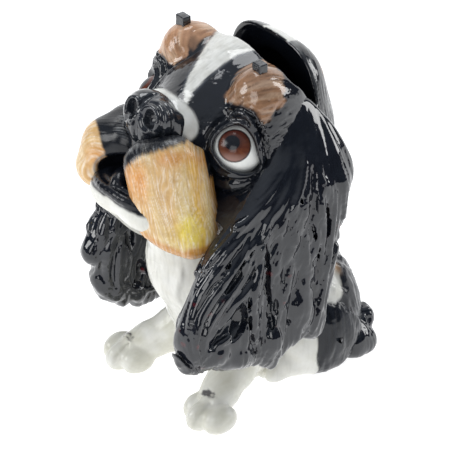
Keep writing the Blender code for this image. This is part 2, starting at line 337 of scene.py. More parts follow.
class Fan:
    """Hair coordinates on a sheet drawn in the YZ plane: t counts across the guide strands, s runs 0..1 down them."""

    def __init__(self, guides, lo, hi, h):
        G = np.stack([spline(g, 260) for g in guides])
        self.G = np.concatenate([2 * G[:1] - G[1:2], G, 2 * G[-1:] - G[-2:-1]])
        self.n = len(guides)
        self.lo, self.h = np.array(lo, float), h
        self.shape = tuple(np.ceil((np.array(hi) - self.lo) / h).astype(int) + 1)
        tt = np.linspace(-1, self.n, 1400)
        ss = np.linspace(0, 1, 520)
        P = self.point(tt[:, None], ss[None, :])
        ij = np.round((P - self.lo) / h).astype(int)
        ok = ((ij >= 0) & (ij < np.array(self.shape))).all(-1)
        flat = ij[ok][:, 0] * self.shape[1] + ij[ok][:, 1]
        N = self.shape[0] * self.shape[1]
        T = np.broadcast_to(tt[:, None], ok.shape)[ok]
        S = np.broadcast_to(ss[None, :], ok.shape)[ok]
        cnt = np.bincount(flat, minlength=N).astype(float)
        t = np.bincount(flat, weights=T, minlength=N)
        s_ = np.bincount(flat, weights=S, minlength=N)
        c = cnt.reshape(self.shape)
        t, s_ = t.reshape(self.shape), s_.reshape(self.shape)
        m = c > 0
        t[m] /= c[m]
        s_[m] /= c[m]
        for _ in range(400):
            if m.all():
                break
            at, as_, ac = np.zeros_like(t), np.zeros_like(t), np.zeros_like(t)
            mf = m.astype(float)
            for ax, d in ((0, 1), (0, -1), (1, 1), (1, -1)):
                r = np.roll(mf, d, ax)
                sl = [slice(None)] * 2
                sl[ax] = 0 if d == 1 else -1
                r[tuple(sl)] = 0
                ac += r
                at += r * np.roll(t, d, ax)
                as_ += r * np.roll(s_, d, ax)
            new = ~m & (ac > 0)
            t[new] = at[new] / ac[new]
            s_[new] = as_[new] / ac[new]
            m = m | new
        for _ in range(2):
            for ax in (0, 1):
                t = (np.roll(t, 1, ax) + t * 2 + np.roll(t, -1, ax)) / 4
                s_ = (np.roll(s_, 1, ax) + s_ * 2 + np.roll(s_, -1, ax)) / 4
        self.T, self.S = t, s_

    def point(self, t, s):
        """Sheet point at hair coordinates (t may run from -1 to n)."""
        G = self.G
        t, s = np.broadcast_arrays(np.asarray(t, float) + 1, np.asarray(s, float))
        i = np.clip(np.floor(t).astype(int), 0, len(G) - 2)
        w = (t - i)[..., None]
        k = np.clip(s, 0, 1) * (G.shape[1] - 1)
        k0 = np.clip(k.astype(int), 0, G.shape[1] - 2)
        f = (k - k0)[..., None]

        def g(q):
            q = np.clip(q, 0, len(G) - 1)
            return G[q, k0] * (1 - f) + G[q, k0 + 1] * f
        p0, p1, p2, p3 = g(i - 1), g(i), g(i + 1), g(i + 2)
        return 0.5 * (2 * p1 + (p2 - p0) * w + (2 * p0 - 5 * p1 + 4 * p2 - p3) * w * w + (3 * p1 - p0 - 3 * p2 + p3) * w ** 3)

    def grid(self):
        return (self.lo[0] + self.h * np.arange(self.shape[0]))[:, None], (self.lo[1] + self.h * np.arange(self.shape[1]))[None, :]

    def look(self, A, y, z):
        q = (np.stack([y, z], -1) - self.lo) / self.h
        i = np.clip(np.floor(q).astype(int), 0, np.array(self.shape) - 2)
        f = np.clip(q - i, 0, 1)
        i0, i1 = i[..., 0], i[..., 1]
        a, b = f[..., 0], f[..., 1]
        return (A[i0, i1] * (1 - a) * (1 - b) + A[i0 + 1, i1] * a * (1 - b) + A[i0, i1 + 1] * (1 - a) * b + A[i0 + 1, i1 + 1] * a * b)


def curve2(poly, m=400):
    """A smooth closed outline through given points."""
    p = np.array(list(poly) + [poly[0]], float)
    return spline(p, m)[:-1]


def hit(c, P, d, reach=30.0):
    """Walk from P along -d to the clay's surface."""
    P = np.array(P, float)
    d = np.broadcast_to(np.array(d, float), P.shape)
    gone = np.zeros(len(P))
    for _ in range(60):
        f = np.clip(c.at(P), -1.5, 1.5)
        P = P - d * (0.7 * f)[:, None]
        gone += 0.7 * f
        if np.abs(f).max() < 0.02:
            break
    return P


def lay(c, path, d, r0, lift, flat=0.66, k=0.8, sink=0.6, tip=0.35, f0=None):
    """Lay one tapered lock along a path over the clay; d is the way out of the surface."""
    path = np.array(path, float)
    P = hit(f0 or c, path, d)
    n = len(P)
    w = np.linspace(0, 1, n)
    r = r0 * np.sin(np.pi * (0.06 + 0.88 * w)) ** 0.75 + tip
    d = np.broadcast_to(np.array(d, float), P.shape)
    P = P + d * (-sink * r + lift * np.sin(np.pi * w))[:, None]
    for i in range(n - 1):
        c.add(d_seg(P[i], P[i + 1], r[i], r[i + 1], (d[i], flat)), k)


def plan_ray(u, v, s=1):
    """Line of the three-quarter design drawing through (u, v), one unit = 0.46 mm; s = -1 mirrors it."""
    o = (TARGET + BACK * DIST) * np.array([s, 1, 1])
    d = (RIGHT * (u - 225) / 3500 - UP * (v - 225) / 3500 - BACK) * np.array([s, 1, 1])
    return o, d / np.linalg.norm(d)


def drop(base, uv, x0, s=1):
    """Where plan points land on the clay, starting from the plane x = x0."""
    o, d = [], []
    for u, v in uv:
        a, b = plan_ray(u, v, s)
        o.append(a + b * ((x0 - a[0]) / b[0]))
        d.append(b)
    P, d = np.array(o), np.array(d)
    for _ in range(90):
        P = P + d * np.clip(0.6 * base.at(P), -1.0, 1.6)[:, None]
    return P


def facing(base, P, e=0.9):
    g = np.stack([base.at(P + np.eye(3)[i] * e) - base.at(P - np.eye(3)[i] * e) for i in range(3)], 1)
    for _ in range(2):
        if len(g) > 2:
            g[1:-1] = (g[:-2] + g[1:-1] + g[2:]) / 3
    return g / (np.linalg.norm(g, axis=1, keepdims=True) + 1e-9)


def copy_clay(c):
    b = Clay.__new__(Clay)
    b.lo, b.h, b.n, b.ax, b.f = c.lo, c.h, c.n, c.ax, c.f.copy()
    return b


def strand(c, base, path, r, lift, x0, s=1, k=0.8, sink=0.62, blunt=0.3, flat=0.72):
    """A lock drawn on the plan and laid on the clay; a negative lift carves it in instead."""
    uv = spline(path, max(4, int(sum(math.dist(a, b) for a, b in zip(path[:-1], path[1:])) / 5) + 1))
    P = drop(base, uv, x0, s)
    N = facing(base, P)
    w = np.linspace(0, 1, len(P))
    rr = r * (blunt + (1 - blunt) * np.sin(np.pi * (0.04 + 0.92 * w)) ** 0.6)
    if lift >= 0:
        C = P + N * (-sink * rr + lift * (0.25 + 0.75 * np.sin(np.pi * w)))[:, None]
    else:
        C = P + N * (0.55 * rr + lift * np.sin(np.pi * (0.1 + 0.8 * w)))[:, None]
    for i in range(len(P) - 1):
        if np.linalg.norm(P[i + 1] - P[i]) > 7 or abs(float(base.at(P[i + 1:i + 2])[0])) > 0.8:
            continue
        if lift >= 0:
            c.add(d_seg(C[i], C[i + 1], rr[i], rr[i + 1], (N[i], flat)), k)
        else:
            c.cut(d_seg(C[i], C[i + 1], rr[i], rr[i + 1]), 1.0)


PIECES = []


def make(name, v, q, nodes, mat, tone=None, masks=None):
    """Build the piece from sculpting-frame vertices, give it paint and hang it on the frame."""
    me = bpy.data.meshes.new(name)
    co = row(v).astype(np.float32)
    me.vertices.add(len(co))
    me.vertices.foreach_set("co", co.ravel())
    me.loops.add(q.size)
    me.loops.foreach_set("vertex_index", q.astype(np.int32).ravel())
    me.polygons.add(len(q))
    me.polygons.foreach_set("loop_start", (np.arange(len(q)) * q.shape[1]).astype(np.int32))
    me.update(calc_edges=True)
    me.validate()
    me.shade_smooth()
    if tone is not None:
        a = me.attributes.new("tone", "FLOAT_COLOR", "POINT")
        rgba = np.ones((len(co), 4), np.float32)
        rgba[:, :3] = np.clip(tone, 0, 1)
        a.data.foreach_set("color", rgba.ravel())
    for k, m in (masks or {}).items():
        a = me.attributes.new(k, "FLOAT", "POINT")
        a.data.foreach_set("value", np.ascontiguousarray(m, np.float32))
    ob = bpy.data.objects.new(name, me)
    bpy.context.scene.collection.objects.link(ob)
    me.materials.append(mat)
    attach(ob, "root")
    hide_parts(*nodes)
    PIECES.append((name, len(q)))
    return ob


# ------------------------------------------------------------------ glaze materials
def glaze(name, bump=0.06, bump_scale=420.0, rough=(0.05, 0.13), ior=1.42, shade=(0.80, 0.79, 0.76), scale=160.0, detail=5.0):
    """Glossy glaze over painted underglaze: the painted tone is broken up by fine pooling of the
    colour, the roughness drifts, and a faint orange-peel waves the surface."""
    m = bpy.data.materials.new(name)
    m.use_nodes = True
    nt = m.node_tree
    N, L = nt.nodes, nt.links
    b = N["Principled BSDF"]
    b.inputs["IOR"].default_value = ior
    at = N.new("ShaderNodeAttribute")
    at.attribute_name = "tone"
    tc = N.new("ShaderNodeTexCoord")
    n1 = N.new("ShaderNodeTexNoise")
    n1.inputs["Scale"].default_value = scale
    n1.inputs["Detail"].default_value = detail
    n1.inputs["Roughness"].default_value = 0.6
    L.new(tc.outputs["Object"], n1.inputs["Vector"])
    mr = N.new("ShaderNodeMapRange")
    mr.inputs["From Min"].default_value = 0.38
    mr.inputs["From Max"].default_value = 0.72
    L.new(n1.outputs["Fac"], mr.inputs["Value"])
    mx = N.new("ShaderNodeMix")
    mx.data_type = "RGBA"
    mx.blend_type = "MULTIPLY"
    mx.inputs[7].default_value = (shade[0], shade[1], shade[2], 1)
    L.new(mr.outputs["Result"], mx.inputs[0])
    L.new(at.outputs["Color"], mx.inputs[6])
    L.new(mx.outputs[2], b.inputs["Base Color"])
    n2 = N.new("ShaderNodeTexNoise")
    n2.inputs["Scale"].default_value = 60.0
    n2.inputs["Detail"].default_value = 3.0
    L.new(tc.outputs["Object"], n2.inputs["Vector"])
    r = N.new("ShaderNodeMapRange")
    r.inputs["From Min"].default_value = 0.3
    r.inputs["From Max"].default_value = 0.7
    r.inputs["To Min"].default_value = rough[0]
    r.inputs["To Max"].default_value = rough[1]
    L.new(n2.outputs["Fac"], r.inputs["Value"])
    L.new(r.outputs["Result"], b.inputs["Roughness"])
    n3 = N.new("ShaderNodeTexNoise")
    n3.inputs["Scale"].default_value = bump_scale
    n3.inputs["Detail"].default_value = 2.0
    L.new(tc.outputs["Object"], n3.inputs["Vector"])
    bp = N.new("ShaderNodeBump")
    bp.inputs["Strength"].default_value = bump
    bp.inputs["Distance"].default_value = 0.0004
    L.new(n3.outputs["Fac"], bp.inputs["Height"])
    L.new(bp.outputs["Normal"], b.inputs["Normal"])
    return m


# linear colours
CREAM = np.array([0.77, 0.77, 0.73])
BLACK = np.array([0.0062, 0.0078, 0.0120])
SOFTBLACK = np.array([0.0135, 0.0165, 0.0235])
BROWN = np.array([0.40, 0.185, 0.085])
GOLD = np.array([0.62, 0.30, 0.085])
YELLOW = np.array([0.66, 0.46, 0.10])
ORANGE = np.array([0.60, 0.24, 0.05])
PEACH = np.array([0.76, 0.50, 0.30])

M_BLACK = glaze("black_glaze", shade=(0.6, 0.6, 0.65), rough=(0.03, 0.09), ior=1.66)
M_HEAD = glaze("head_glaze", rough=(0.05, 0.12), ior=1.58)
M_WHITE = glaze("white_glaze", scale=90.0, rough=(0.12, 0.28), shade=(0.86, 0.85, 0.80))
M_TAN = glaze("tan_glaze", scale=260.0, rough=(0.16, 0.32), shade=(0.80, 0.72, 0.62))
M_NOSE = glaze("nose_glaze", rough=(0.05, 0.11), shade=(0.7, 0.7, 0.7), ior=1.70)
M_EYE = glaze("eye_glaze", scale=500.0, rough=(0.16, 0.20), bump=0.0, shade=(0.96, 0.95, 0.95))


# ------------------------------------------------------------------ helpers for paint
def poly_dist(P, poly):
    """Signed distance of 2-D points to a polygon, negative inside."""
    poly = np.array(poly, float)
    d = np.full(len(P), 1e9)
    ins = np.zeros(len(P), bool)
    for i in range(len(poly)):
        a, b = poly[i], poly[(i + 1) % len(poly)]
        ab, ap = b - a, P - a
        t = np.clip((ap @ ab) / (ab @ ab + 1e-9), 0, 1)
        q = ap - t[:, None] * ab
        d = np.minimum(d, (q ** 2).sum(1))
        c = ((a[1] > P[:, 1]) != (b[1] > P[:, 1]))
        with np.errstate(divide="ignore", invalid="ignore"):
            x = (b[0] - a[0]) * (P[:, 1] - a[1]) / (b[1] - a[1]) + a[0]
        ins ^= c & (P[:, 0] < x)
    return np.sqrt(d) * np.where(ins, -1, 1)


def sheet_uv(v, mirror=True):
    """Plan of the design drawing: points seen along the three-quarter axis, one unit = 0.46 mm.
    The right half is folded onto the left so both sides are painted alike."""
    p = v.copy()
    if mirror:
        p[:, 0] = np.abs(p[:, 0])
    d = p - (TARGET + BACK * DIST)
    z = -(d @ BACK)
    return np.stack([225 + 3500 * (d @ RIGHT) / z, 225 - 3500 * (d @ UP) / z], 1)


def polar(v, N, e1, e2):
    q = v - np.array(N, float)
    a = np.arctan2(q @ np.array(e1, float), q @ np.array(e2, float))
    r = np.sqrt((q @ np.array(e1, float)) ** 2 + (q @ np.array(e2, float)) ** 2)
    return a, r


# ------------------------------------------------------------------ eyes: their frame
EYE_C = np.array([27.3, 19.2, 135.4])
EYE_R = 12.0


def eye_axes(s):
    flip = np.array([s, 1, 1])
    return EYE_C * flip, RIGHT * flip, UP * flip, BACK * flip


def eye_local(X, Y, Z, s):
    c, r, u, n = eye_axes(s)
    x, y, z = X - c[0], Y - c[1], Z - c[2]
    return (x * r[0] + y * r[1] + z * r[2], x * u[0] + y * u[1] + z * u[2], x * n[0] + y * n[1] + z * n[2])


# ================================================================== HEAD
OPEN = [(-10.9, -0.9), (-10.2, 3.5), (-7.6, 7.0), (-4.2, 9.2), (-0.8, 10.0), (3.0, 8.9), (5.6, 6.2), (7.2, 3.4), (8.4, -0.9), (9.4, -4.2),
        (10.2, -7.4), (9.0, -9.6), (4.5, -10.9), (0.0, -10.6), (-4.0, -9.2), (-8.0, -5.8)]
LIDS = [([(228, 121), (237, 113), (247, 116), (255, 128), (261, 145), (265, 160)], 1.3, 1.1), ([(240, 107), (252, 112), (262, 127), (268, 146), (271, 163)], 1.0, 0.9),
        ([(254, 134), (259, 148), (263, 162)], 0.8, 0.8), ([(207, 150), (212, 163), (222, 172), (236, 176), (250, 175), (258, 170)], 1.1, 1.0),
        ([(212, 180), (226, 184), (241, 183), (256, 177)], 3.0, 1.5), ([(226, 203), (237, 206), (247, 204)], 6.6, 4.2), ([(214, 196), (222, 200)], 4.0, 1.5),
        ([(208, 132), (213, 122), (222, 114)], 0.9, 0.7), ([(204, 136), (209, 123), (218, 112), (230, 106)], 0.9, 0.6)]
LID_LINES = [([(206, 186), (220, 190.5), (236, 190.5), (252, 185)], 0.8, -1.0), ([(214, 173), (228, 178.5), (244, 178.5), (258, 173)], 0.5, -0.7),
             ([(257, 124), (264, 142), (268, 160)], 0.6, -0.9), ([(246, 111), (257, 119), (265, 134), (270, 152)], 0.5, -0.8), ([(224, 120), (234, 109), (246, 110)], 0.6, -0.8)]


def strand_head(c, base, path, r, lift, s):
    """Lids and folds drawn once on the plan and laid on both sides of the head."""
    if s > 0:
        strand(c, base, path, r, lift, 47.0, 1, k=0.7 if r < 2 else 2.0, blunt=0.35, flat=0.85)
        return
    m = copy_clay(c)
    m.f = m.f[::-1].copy()
    mb = copy_clay(base)
    mb.f = mb.f[::-1].copy()
    strand(m, mb, path, r, lift, 47.0, 1, k=0.7 if r < 2 else 2.0, blunt=0.35, flat=0.85)
    c.f = m.f[::-1].copy()


def build_head():
    c = Clay((-50, -20, 74), (50, 92, 178), 0.60)
    c.add(d_ball((0, 44.5, 123.5), (41, 39.8, 46.5)), 3)
    c.add(d_ball((0, 24, 128), (33, 26, 34)), 5)
    c.add(d_ball((0, 4, 134), (21, 20, 22)), 6)
    c.add(d_ball((0, 6, 112), (20, 18, 20)), 6)
    c.add(d_ball((0, 60, 150), (20, 14, 18.5)), 5)
    c.add(d_ball((13, 60, 149), (15, 14, 17.5)), 6)
    c.add(d_ball((-15, 60, 149), (16, 14, 17.5)), 6)
    c.add(d_ball((27.5, 31, 154), (13.3, 13.3, 17.2)), 4)
    c.add(d_ball((-26.0, 32, 154), (12.9, 13.0, 17.0)), 4)
    for s in (1, -1):
        c.add(d_ball((29 * s if s > 0 else -27.8, 30, 141), (13, 15, 17)), 5)
        c.add(d_ball((29 * s, 26, 120), (14, 17, 16)), 6)
        c.add(d_ball((24 * s, 40, 150), (15, 16, 17)), 6)
    c.add(d_ball((0, 0.3, 145.5), (18.2, 10.4, 10.2)), 2.0)
    for s in (1, -1):
        c.add(d_ball(tuple(EYE_C * np.array([s, 1, 1])), 14.3 if s > 0 else 13.5), 2.0)
    # lids, under-eye bag and outer-corner folds, the same on both sides
    poly = curve2(OPEN, 160)

    def rim(X, Y, Z):
        out = np.zeros(len(X))
        for s in (1, -1):
            a, b, n = eye_local(X, Y, Z, s)
            near = (a * a + b * b < 20 ** 2) & (n > -6)
            if not near.any():
                continue
            D = poly_dist(np.stack([a[near], b[near]], 1), poly)
            g = lambda c0, w0: np.exp(-((D - c0) / w0) ** 2)
            o = np.zeros(len(X))
            o[near] = -(0.9 * g(0.9, 0.9) - 0.7 * g(2.6, 0.6))
            out += o
        return out
    c.warp(rim)
    base = copy_clay(c)
    for s in (1, -1):
        base.f = c.f.copy() if s == 1 else base.f
        for path, r, lift in LIDS + LID_LINES:
            strand_head(c, base, path, r, lift, s)
    for s in (1, -1):
        C, r_, u_, n_ = eye_axes(s)

        def opening(X, Y, Z, s=s):
            a, b, n = eye_local(X, Y, Z, s)
            shp = a.shape
            D = poly_dist(np.stack([a.ravel(), b.ravel()], 1), poly).reshape(shp)
            return smax(D + 0.35, 1.5 - n, 0.5)
        sl, X, Y, Z = c.part(C - 16, C + 22, 2)
        XX, YY, ZZ = np.broadcast_arrays(X, Y, Z)
        c.f[sl] = smax(c.f[sl], -opening(XX.astype(float), YY.astype(float), ZZ.astype(float)).astype(np.float32), 1.1)
        c.cut(d_ball(tuple(C), EYE_R + 0.12), 0.2)
    # crown slot and the hollow behind it
    c.cut(d_ball((0, 51.5, 124), (26, 23.5, 38)), 0.5)

    def slot(X, Y, Z):
        hw = 27.0 + 6.0 * np.clip((Z - 118) / 32, 0, 1)
        d = smax(np.abs(X) - hw, np.abs(Y - 51.75) - 8.25, 3.5)
        return smax(d, 118 - Z, 1.0) + 0 * Z
    c.cut((slot, (-36, 42, 116), (36, 62, 200)), 1.5)
    # the neck seat below
    c.cut(d_ball((0, 12, 84), 19.4), 0.5)
    c.cut(d_seg((0, 12, 84), (0, 18, 66), 19.4, 21.9), 0.5)
    v, q = nets(c)
    v, q = largest(v, q)
    v = relax(v, q, 2)
    return c, v, q, normals(v, q)


TAN_SPOT = [(224, 99), (229, 87), (237, 75), (247, 66), (258, 60), (270, 58), (275, 64), (282, 75), (286, 87), (285, 100), (278, 110), (270, 118),
            (265, 122), (261, 118), (253, 110), (240, 105), (230, 104)]
BLAZE = [(184, 102), (184, 90), (188, 77), (194, 66), (204, 48), (220, 27), (234, 22), (262, 42), (262, 50), (252, 50), (238, 54), (224, 63), (207, 77),
         (193, 92), (187, 105)]


def paint_head(v, n):
    uv = sheet_uv(v)
    uv1 = sheet_uv(v, False)
    X, Y, Z = v[:, 0], v[:, 1], v[:, 2]
    aX = np.abs(X)
    # fur coordinates: longitudes about the muzzle
    ax = np.array([0, 0.93, -0.37])
    e1 = np.array([1.0, 0, 0])
    e2 = np.cross(ax, e1)
    qv = v - np.array((0, -6, 140))
    ang = np.arctan2(qv @ e1, qv @ e2)
    rad = np.linalg.norm(qv, axis=1)
    u = ang * 44.0 + 1.3 * noise(ang * 5, rad / 16.0, 0, 5)
    g1 = strokes(u, rad, 1.7, 10.0, 11, 0.5)
    g2 = strokes(u, rad, 1.0, 7.0, 12, 0.5)
    st = noise(u / 1.4, rad / 12.0, 0, 13)
    back = sstep(57, 60, Y)
    gr = strokes(Y * 1.0 + 0.25 * aX, aX * 0.9 - 0.5 * Z, 1.5, 10.0, 14, 0.6, 0.24)
    sr = noise(Y / 1.3 + aX / 6, aX / 9 - Z / 14, 0, 15)
    g1 = g1 * (1 - back) + gr * back
    g2 = g2 * (1 - 0.7 * back)
    st = st * (1 - back) + sr * back

    front = sstep(-3, 0, 46 - Y)
    bz = poly_dist(uv1, BLAZE)
    blaze = (1 - sstep(-1.0, 1.0, bz + 1.0 * st)) * front * (aX < 18) * (Y > 4)
    wr = np.interp(Y, [50, 60, 70, 80, 88], [8.5, 8.0, 6.5, 4.0, 0.0])
    rblaze = (1 - sstep(-0.6, 0.6, np.abs(X - 1.0) - 1.15 * wr - 0.6 * st)) * (Y > 50) * (Z > 118)
    rb = np.sqrt((X / 18.2) ** 2 + ((Y - 0.3) / 10.4) ** 2 + ((Z - 145.5) / 10.2) ** 2)
    bridge = (1 - sstep(1.06, 1.14, rb)) * (Z > 135)
    tanm = (1 - sstep(-1.6, 1.6, poly_dist(uv, TAN_SPOT) + 2.2 * st)) * front
    rear = np.sqrt(((aX - 16.2) / 6.0) ** 2 + ((Z - 151) / 8.5) ** 2)
    rearm = (1 - sstep(0.75, 1.25, rear + 0.35 * st)) * (Y > 58)
    k = len(v)
    tone = np.tile(BLACK, (k, 1))
    tone = mixc(tone, SOFTBLACK, np.clip(0.5 + 0.5 * st, 0, 1) * 0.3)
    grey = sstep(56, 62, Y) * sstep(128, 140, Z) * (0.45 + 0.55 * st)
    tone = mixc(tone, np.array([0.050, 0.052, 0.055]), np.clip(grey, 0, 1))
    tone = mixc(tone, np.array([0.26, 0.27, 0.27]), np.clip(sr * 1.6 - 0.35, 0, 1) * sstep(58, 61, Y) * sstep(126, 136, Z) * 0.75)
    br = mixc(np.tile([0.35, 0.195, 0.112], (k, 1)), np.array([0.52, 0.37, 0.26]), sstep(0.05, 0.8, st) * 0.7)
    br = mixc(br, np.array([0.085, 0.042, 0.026]), np.clip(g1 * 0.8 + g2 * 0.45, 0, 1) * 0.85)
    tone = mixc(tone, br, tanm)
    tone = mixc(tone, br, rearm * 0.9)
    # the tan spot on the dog's right side is painted 1.65 times lighter than on the left: painted light, a lit copy of
    # the same tan
    tone = mixc(tone, tone * 1.65, tanm * (X < 0) * 0.9)
    wh = mixc(np.tile(CREAM, (k, 1)), CREAM * 0.66, np.clip(g2 * 0.6 + g1 * 0.35, 0, 1))
    tone = mixc(tone, wh, np.clip(blaze + rblaze, 0, 1))
    tone = mixc(tone, CREAM, bridge)
    # a faint grey line painted along the edge of the blaze on the black: painted reflection
    blaze_edge_painted_reflection = np.exp(-((bz - 1.2) / 1.2) ** 2) * front * (aX < 18) * (Y > 8) * (1 - blaze)
    tone = mixc(tone, np.array([0.10, 0.11, 0.13]), blaze_edge_painted_reflection * 0.5)
    # inside the crown slot and the hollow the paint is the black glaze without marks, made 0.7 times darker still:
    # painted shade in the recess
    inside = (np.abs(Y - 51.75) < 8.9) & (aX < 33.8) & (Z > 84) & (np.maximum(np.abs(n[:, 1]), np.abs(n[:, 0])) > 0.55)
    hol = (np.sqrt((X / 26) ** 2 + ((Y - 51.5) / 23.5) ** 2 + ((Z - 124) / 38) ** 2) < 1.02)
    deep = np.clip(inside.astype(float) + hol, 0, 1)
    tone = mixc(tone, BLACK * 0.7, deep)
    # relief
    lid = np.zeros(k)
    for s in (1, -1):
        C = EYE_C * np.array([s, 1, 1])
        lid = np.maximum(lid, 1 - sstep(16.0, 20.0, np.linalg.norm(v - C, axis=1)))
    cheek = sstep(10, 24, aX) * (1 - sstep(148, 160, Z))
    amp = (1 - deep) * (1 - 0.97 * bridge) * (1 - 0.92 * lid) * (0.35 + 0.75 * cheek + 0.35 * tanm + 0.30 * grey - 0.10 * blaze)
    h = -amp * (0.42 * g1 + 0.22 * g2)
    # bold folds fanning out behind the outer corner of each eye
    for s in (1, -1):
        a, b, m = eye_local(X, Y, Z, s)
        th = np.arctan2(b + 2, a - 4)
        r = np.hypot(b + 2, a - 4)
        zone = sstep(8, 12, r) * (1 - sstep(24, 31, r)) * sstep(-0.9, -0.5, th) * (1 - sstep(0.9, 1.25, th)) * (m > -14) * (s * X > 0)
        f1 = strokes(th * 17 + 0.6 * noise(th * 3, r / 8, 0, 44), r, 1.9, 8.5, 77, 0.6, 0.24)
        h -= zone * 0.75 * f1
    return tone, h


def head():
    c, v, q, n = build_head()
    tone, h = paint_head(v, n)
    v2 = v + n * h[:, None]
    make("head", v2, q, ["head_shell"], M_HEAD, tone)


# ================================================================== EYES
def eyes():
    for s, side in ((1, "left"), (-1, "right")):
        C, r_, u_, n_ = eye_axes(s)
        nu, nv = (96, 96)
        # a ball whose pole looks along the gaze, so iris and pupil rings stay round
        th = np.linspace(0.0, math.pi, nu + 1)
        ph = np.linspace(0, 2 * math.pi, nv, endpoint=False)
        pts = [np.array([0, 0, 1.0])]
        for t in th[1:-1]:
            for p in ph:
                pts.append(np.array([math.sin(t) * math.cos(p), math.sin(t) * math.sin(p), math.cos(t)]))
        pts.append(np.array([0, 0, -1.0]))
        L = np.array(pts)
        gaze = np.array([0.03, 0.12, 1.0])
        gaze /= np.linalg.norm(gaze)
        cornea = np.clip((L @ gaze - 0.78) / 0.22, 0, 1)
        R = EYE_R + 0.35 * cornea ** 2
        a, b, d = L[:, 0] * R, L[:, 1] * R, L[:, 2] * R
        v = C + a[:, None] * r_ + b[:, None] * u_ + d[:, None] * n_
        faces = []
        for i in range(nu):
            for j in range(nv):
                j2 = (j + 1) % nv
                if i == 0:
                    faces.append((0, 1 + j, 1 + j2, 1 + j2))
                elif i == nu - 1:
                    k = 1 + (nu - 2) * nv
                    faces.append((k + j, len(L) - 1, len(L) - 1, k + j2))
                else:
                    k = 1 + (i - 1) * nv
                    faces.append((k + j, k + nv + j, k + nv + j2, k + j2))
        quad = [f for f in faces if len(set(f)) == 4]
        tri = [f for f in faces if len(set(f)) < 4]
        ia, ib = a + (1.2 if s > 0 else 0.0), b - 0.9
        ri = np.sqrt(ia ** 2 + ib ** 2)
        front = d > 0
        ang = np.arctan2(ib, ia)
        iris = (1 - sstep(7.1, 7.5, ri)) * front
        pa, pb = a + (2.2 if s > 0 else 0.7), b - 2.3
        rp = np.sqrt((pa * 0.95) ** 2 + pb ** 2)
        pupil = (1 - sstep(3.0, 3.5, rp)) * front
        fib = 0.5 + 0.5 * noise(ang * 7, ri / 3.0, 0, 31)
        ic = mixc(np.tile([0.115, 0.034, 0.020], (len(L), 1)), np.array([0.19, 0.062, 0.026]), fib * 0.7)
        # the lower iris is painted lighter and pinker: painted reflection; the upper iris is painted darker below the
        # lid: painted shade
        ic = mixc(ic, np.array([0.34, 0.19, 0.155]), sstep(2.6, 6.8, -ib - 0.25 * ia) * 0.85)
        ic = mixc(ic, np.array([0.10, 0.022, 0.02]), sstep(1.5, 7.0, ib) * 0.75)
        ic = mixc(ic, np.array([0.05, 0.015, 0.012]), np.exp(-((rp - 3.6) / 0.9) ** 2) * 0.6)
        ic = mixc(ic, BLACK, sstep(6.4, 7.1, ri) * 0.9)
        tone = np.tile(np.array([0.95, 0.96, 0.92]), (len(L), 1))
        tone = mixc(tone, ic, iris)
        tone = mixc(tone, BLACK, pupil)
        tone = mixc(tone, BLACK, 1.0 * (d < -2))
        me = bpy.data.meshes.new(side + "_eyeball")
        flip = s < 0
        fl = [tuple(dict.fromkeys(f)) for f in faces]
        if flip:
            fl = [f[::-1] for f in fl]
        me.from_pydata([tuple(p) for p in row(v)], [], fl)
        me.shade_smooth()
        at = me.attributes.new("tone", "FLOAT_COLOR", "POINT")
        rgba = np.ones((len(L), 4), np.float32)
        rgba[:, :3] = np.clip(tone, 0, 1)
        at.data.foreach_set("color", rgba.ravel())
        me.materials.append(M_EYE)
        ob = bpy.data.objects.new(side + "_eyeball", me)
        bpy.context.scene.collection.objects.link(ob)
        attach(ob, "root")
        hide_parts(side + "_eye")


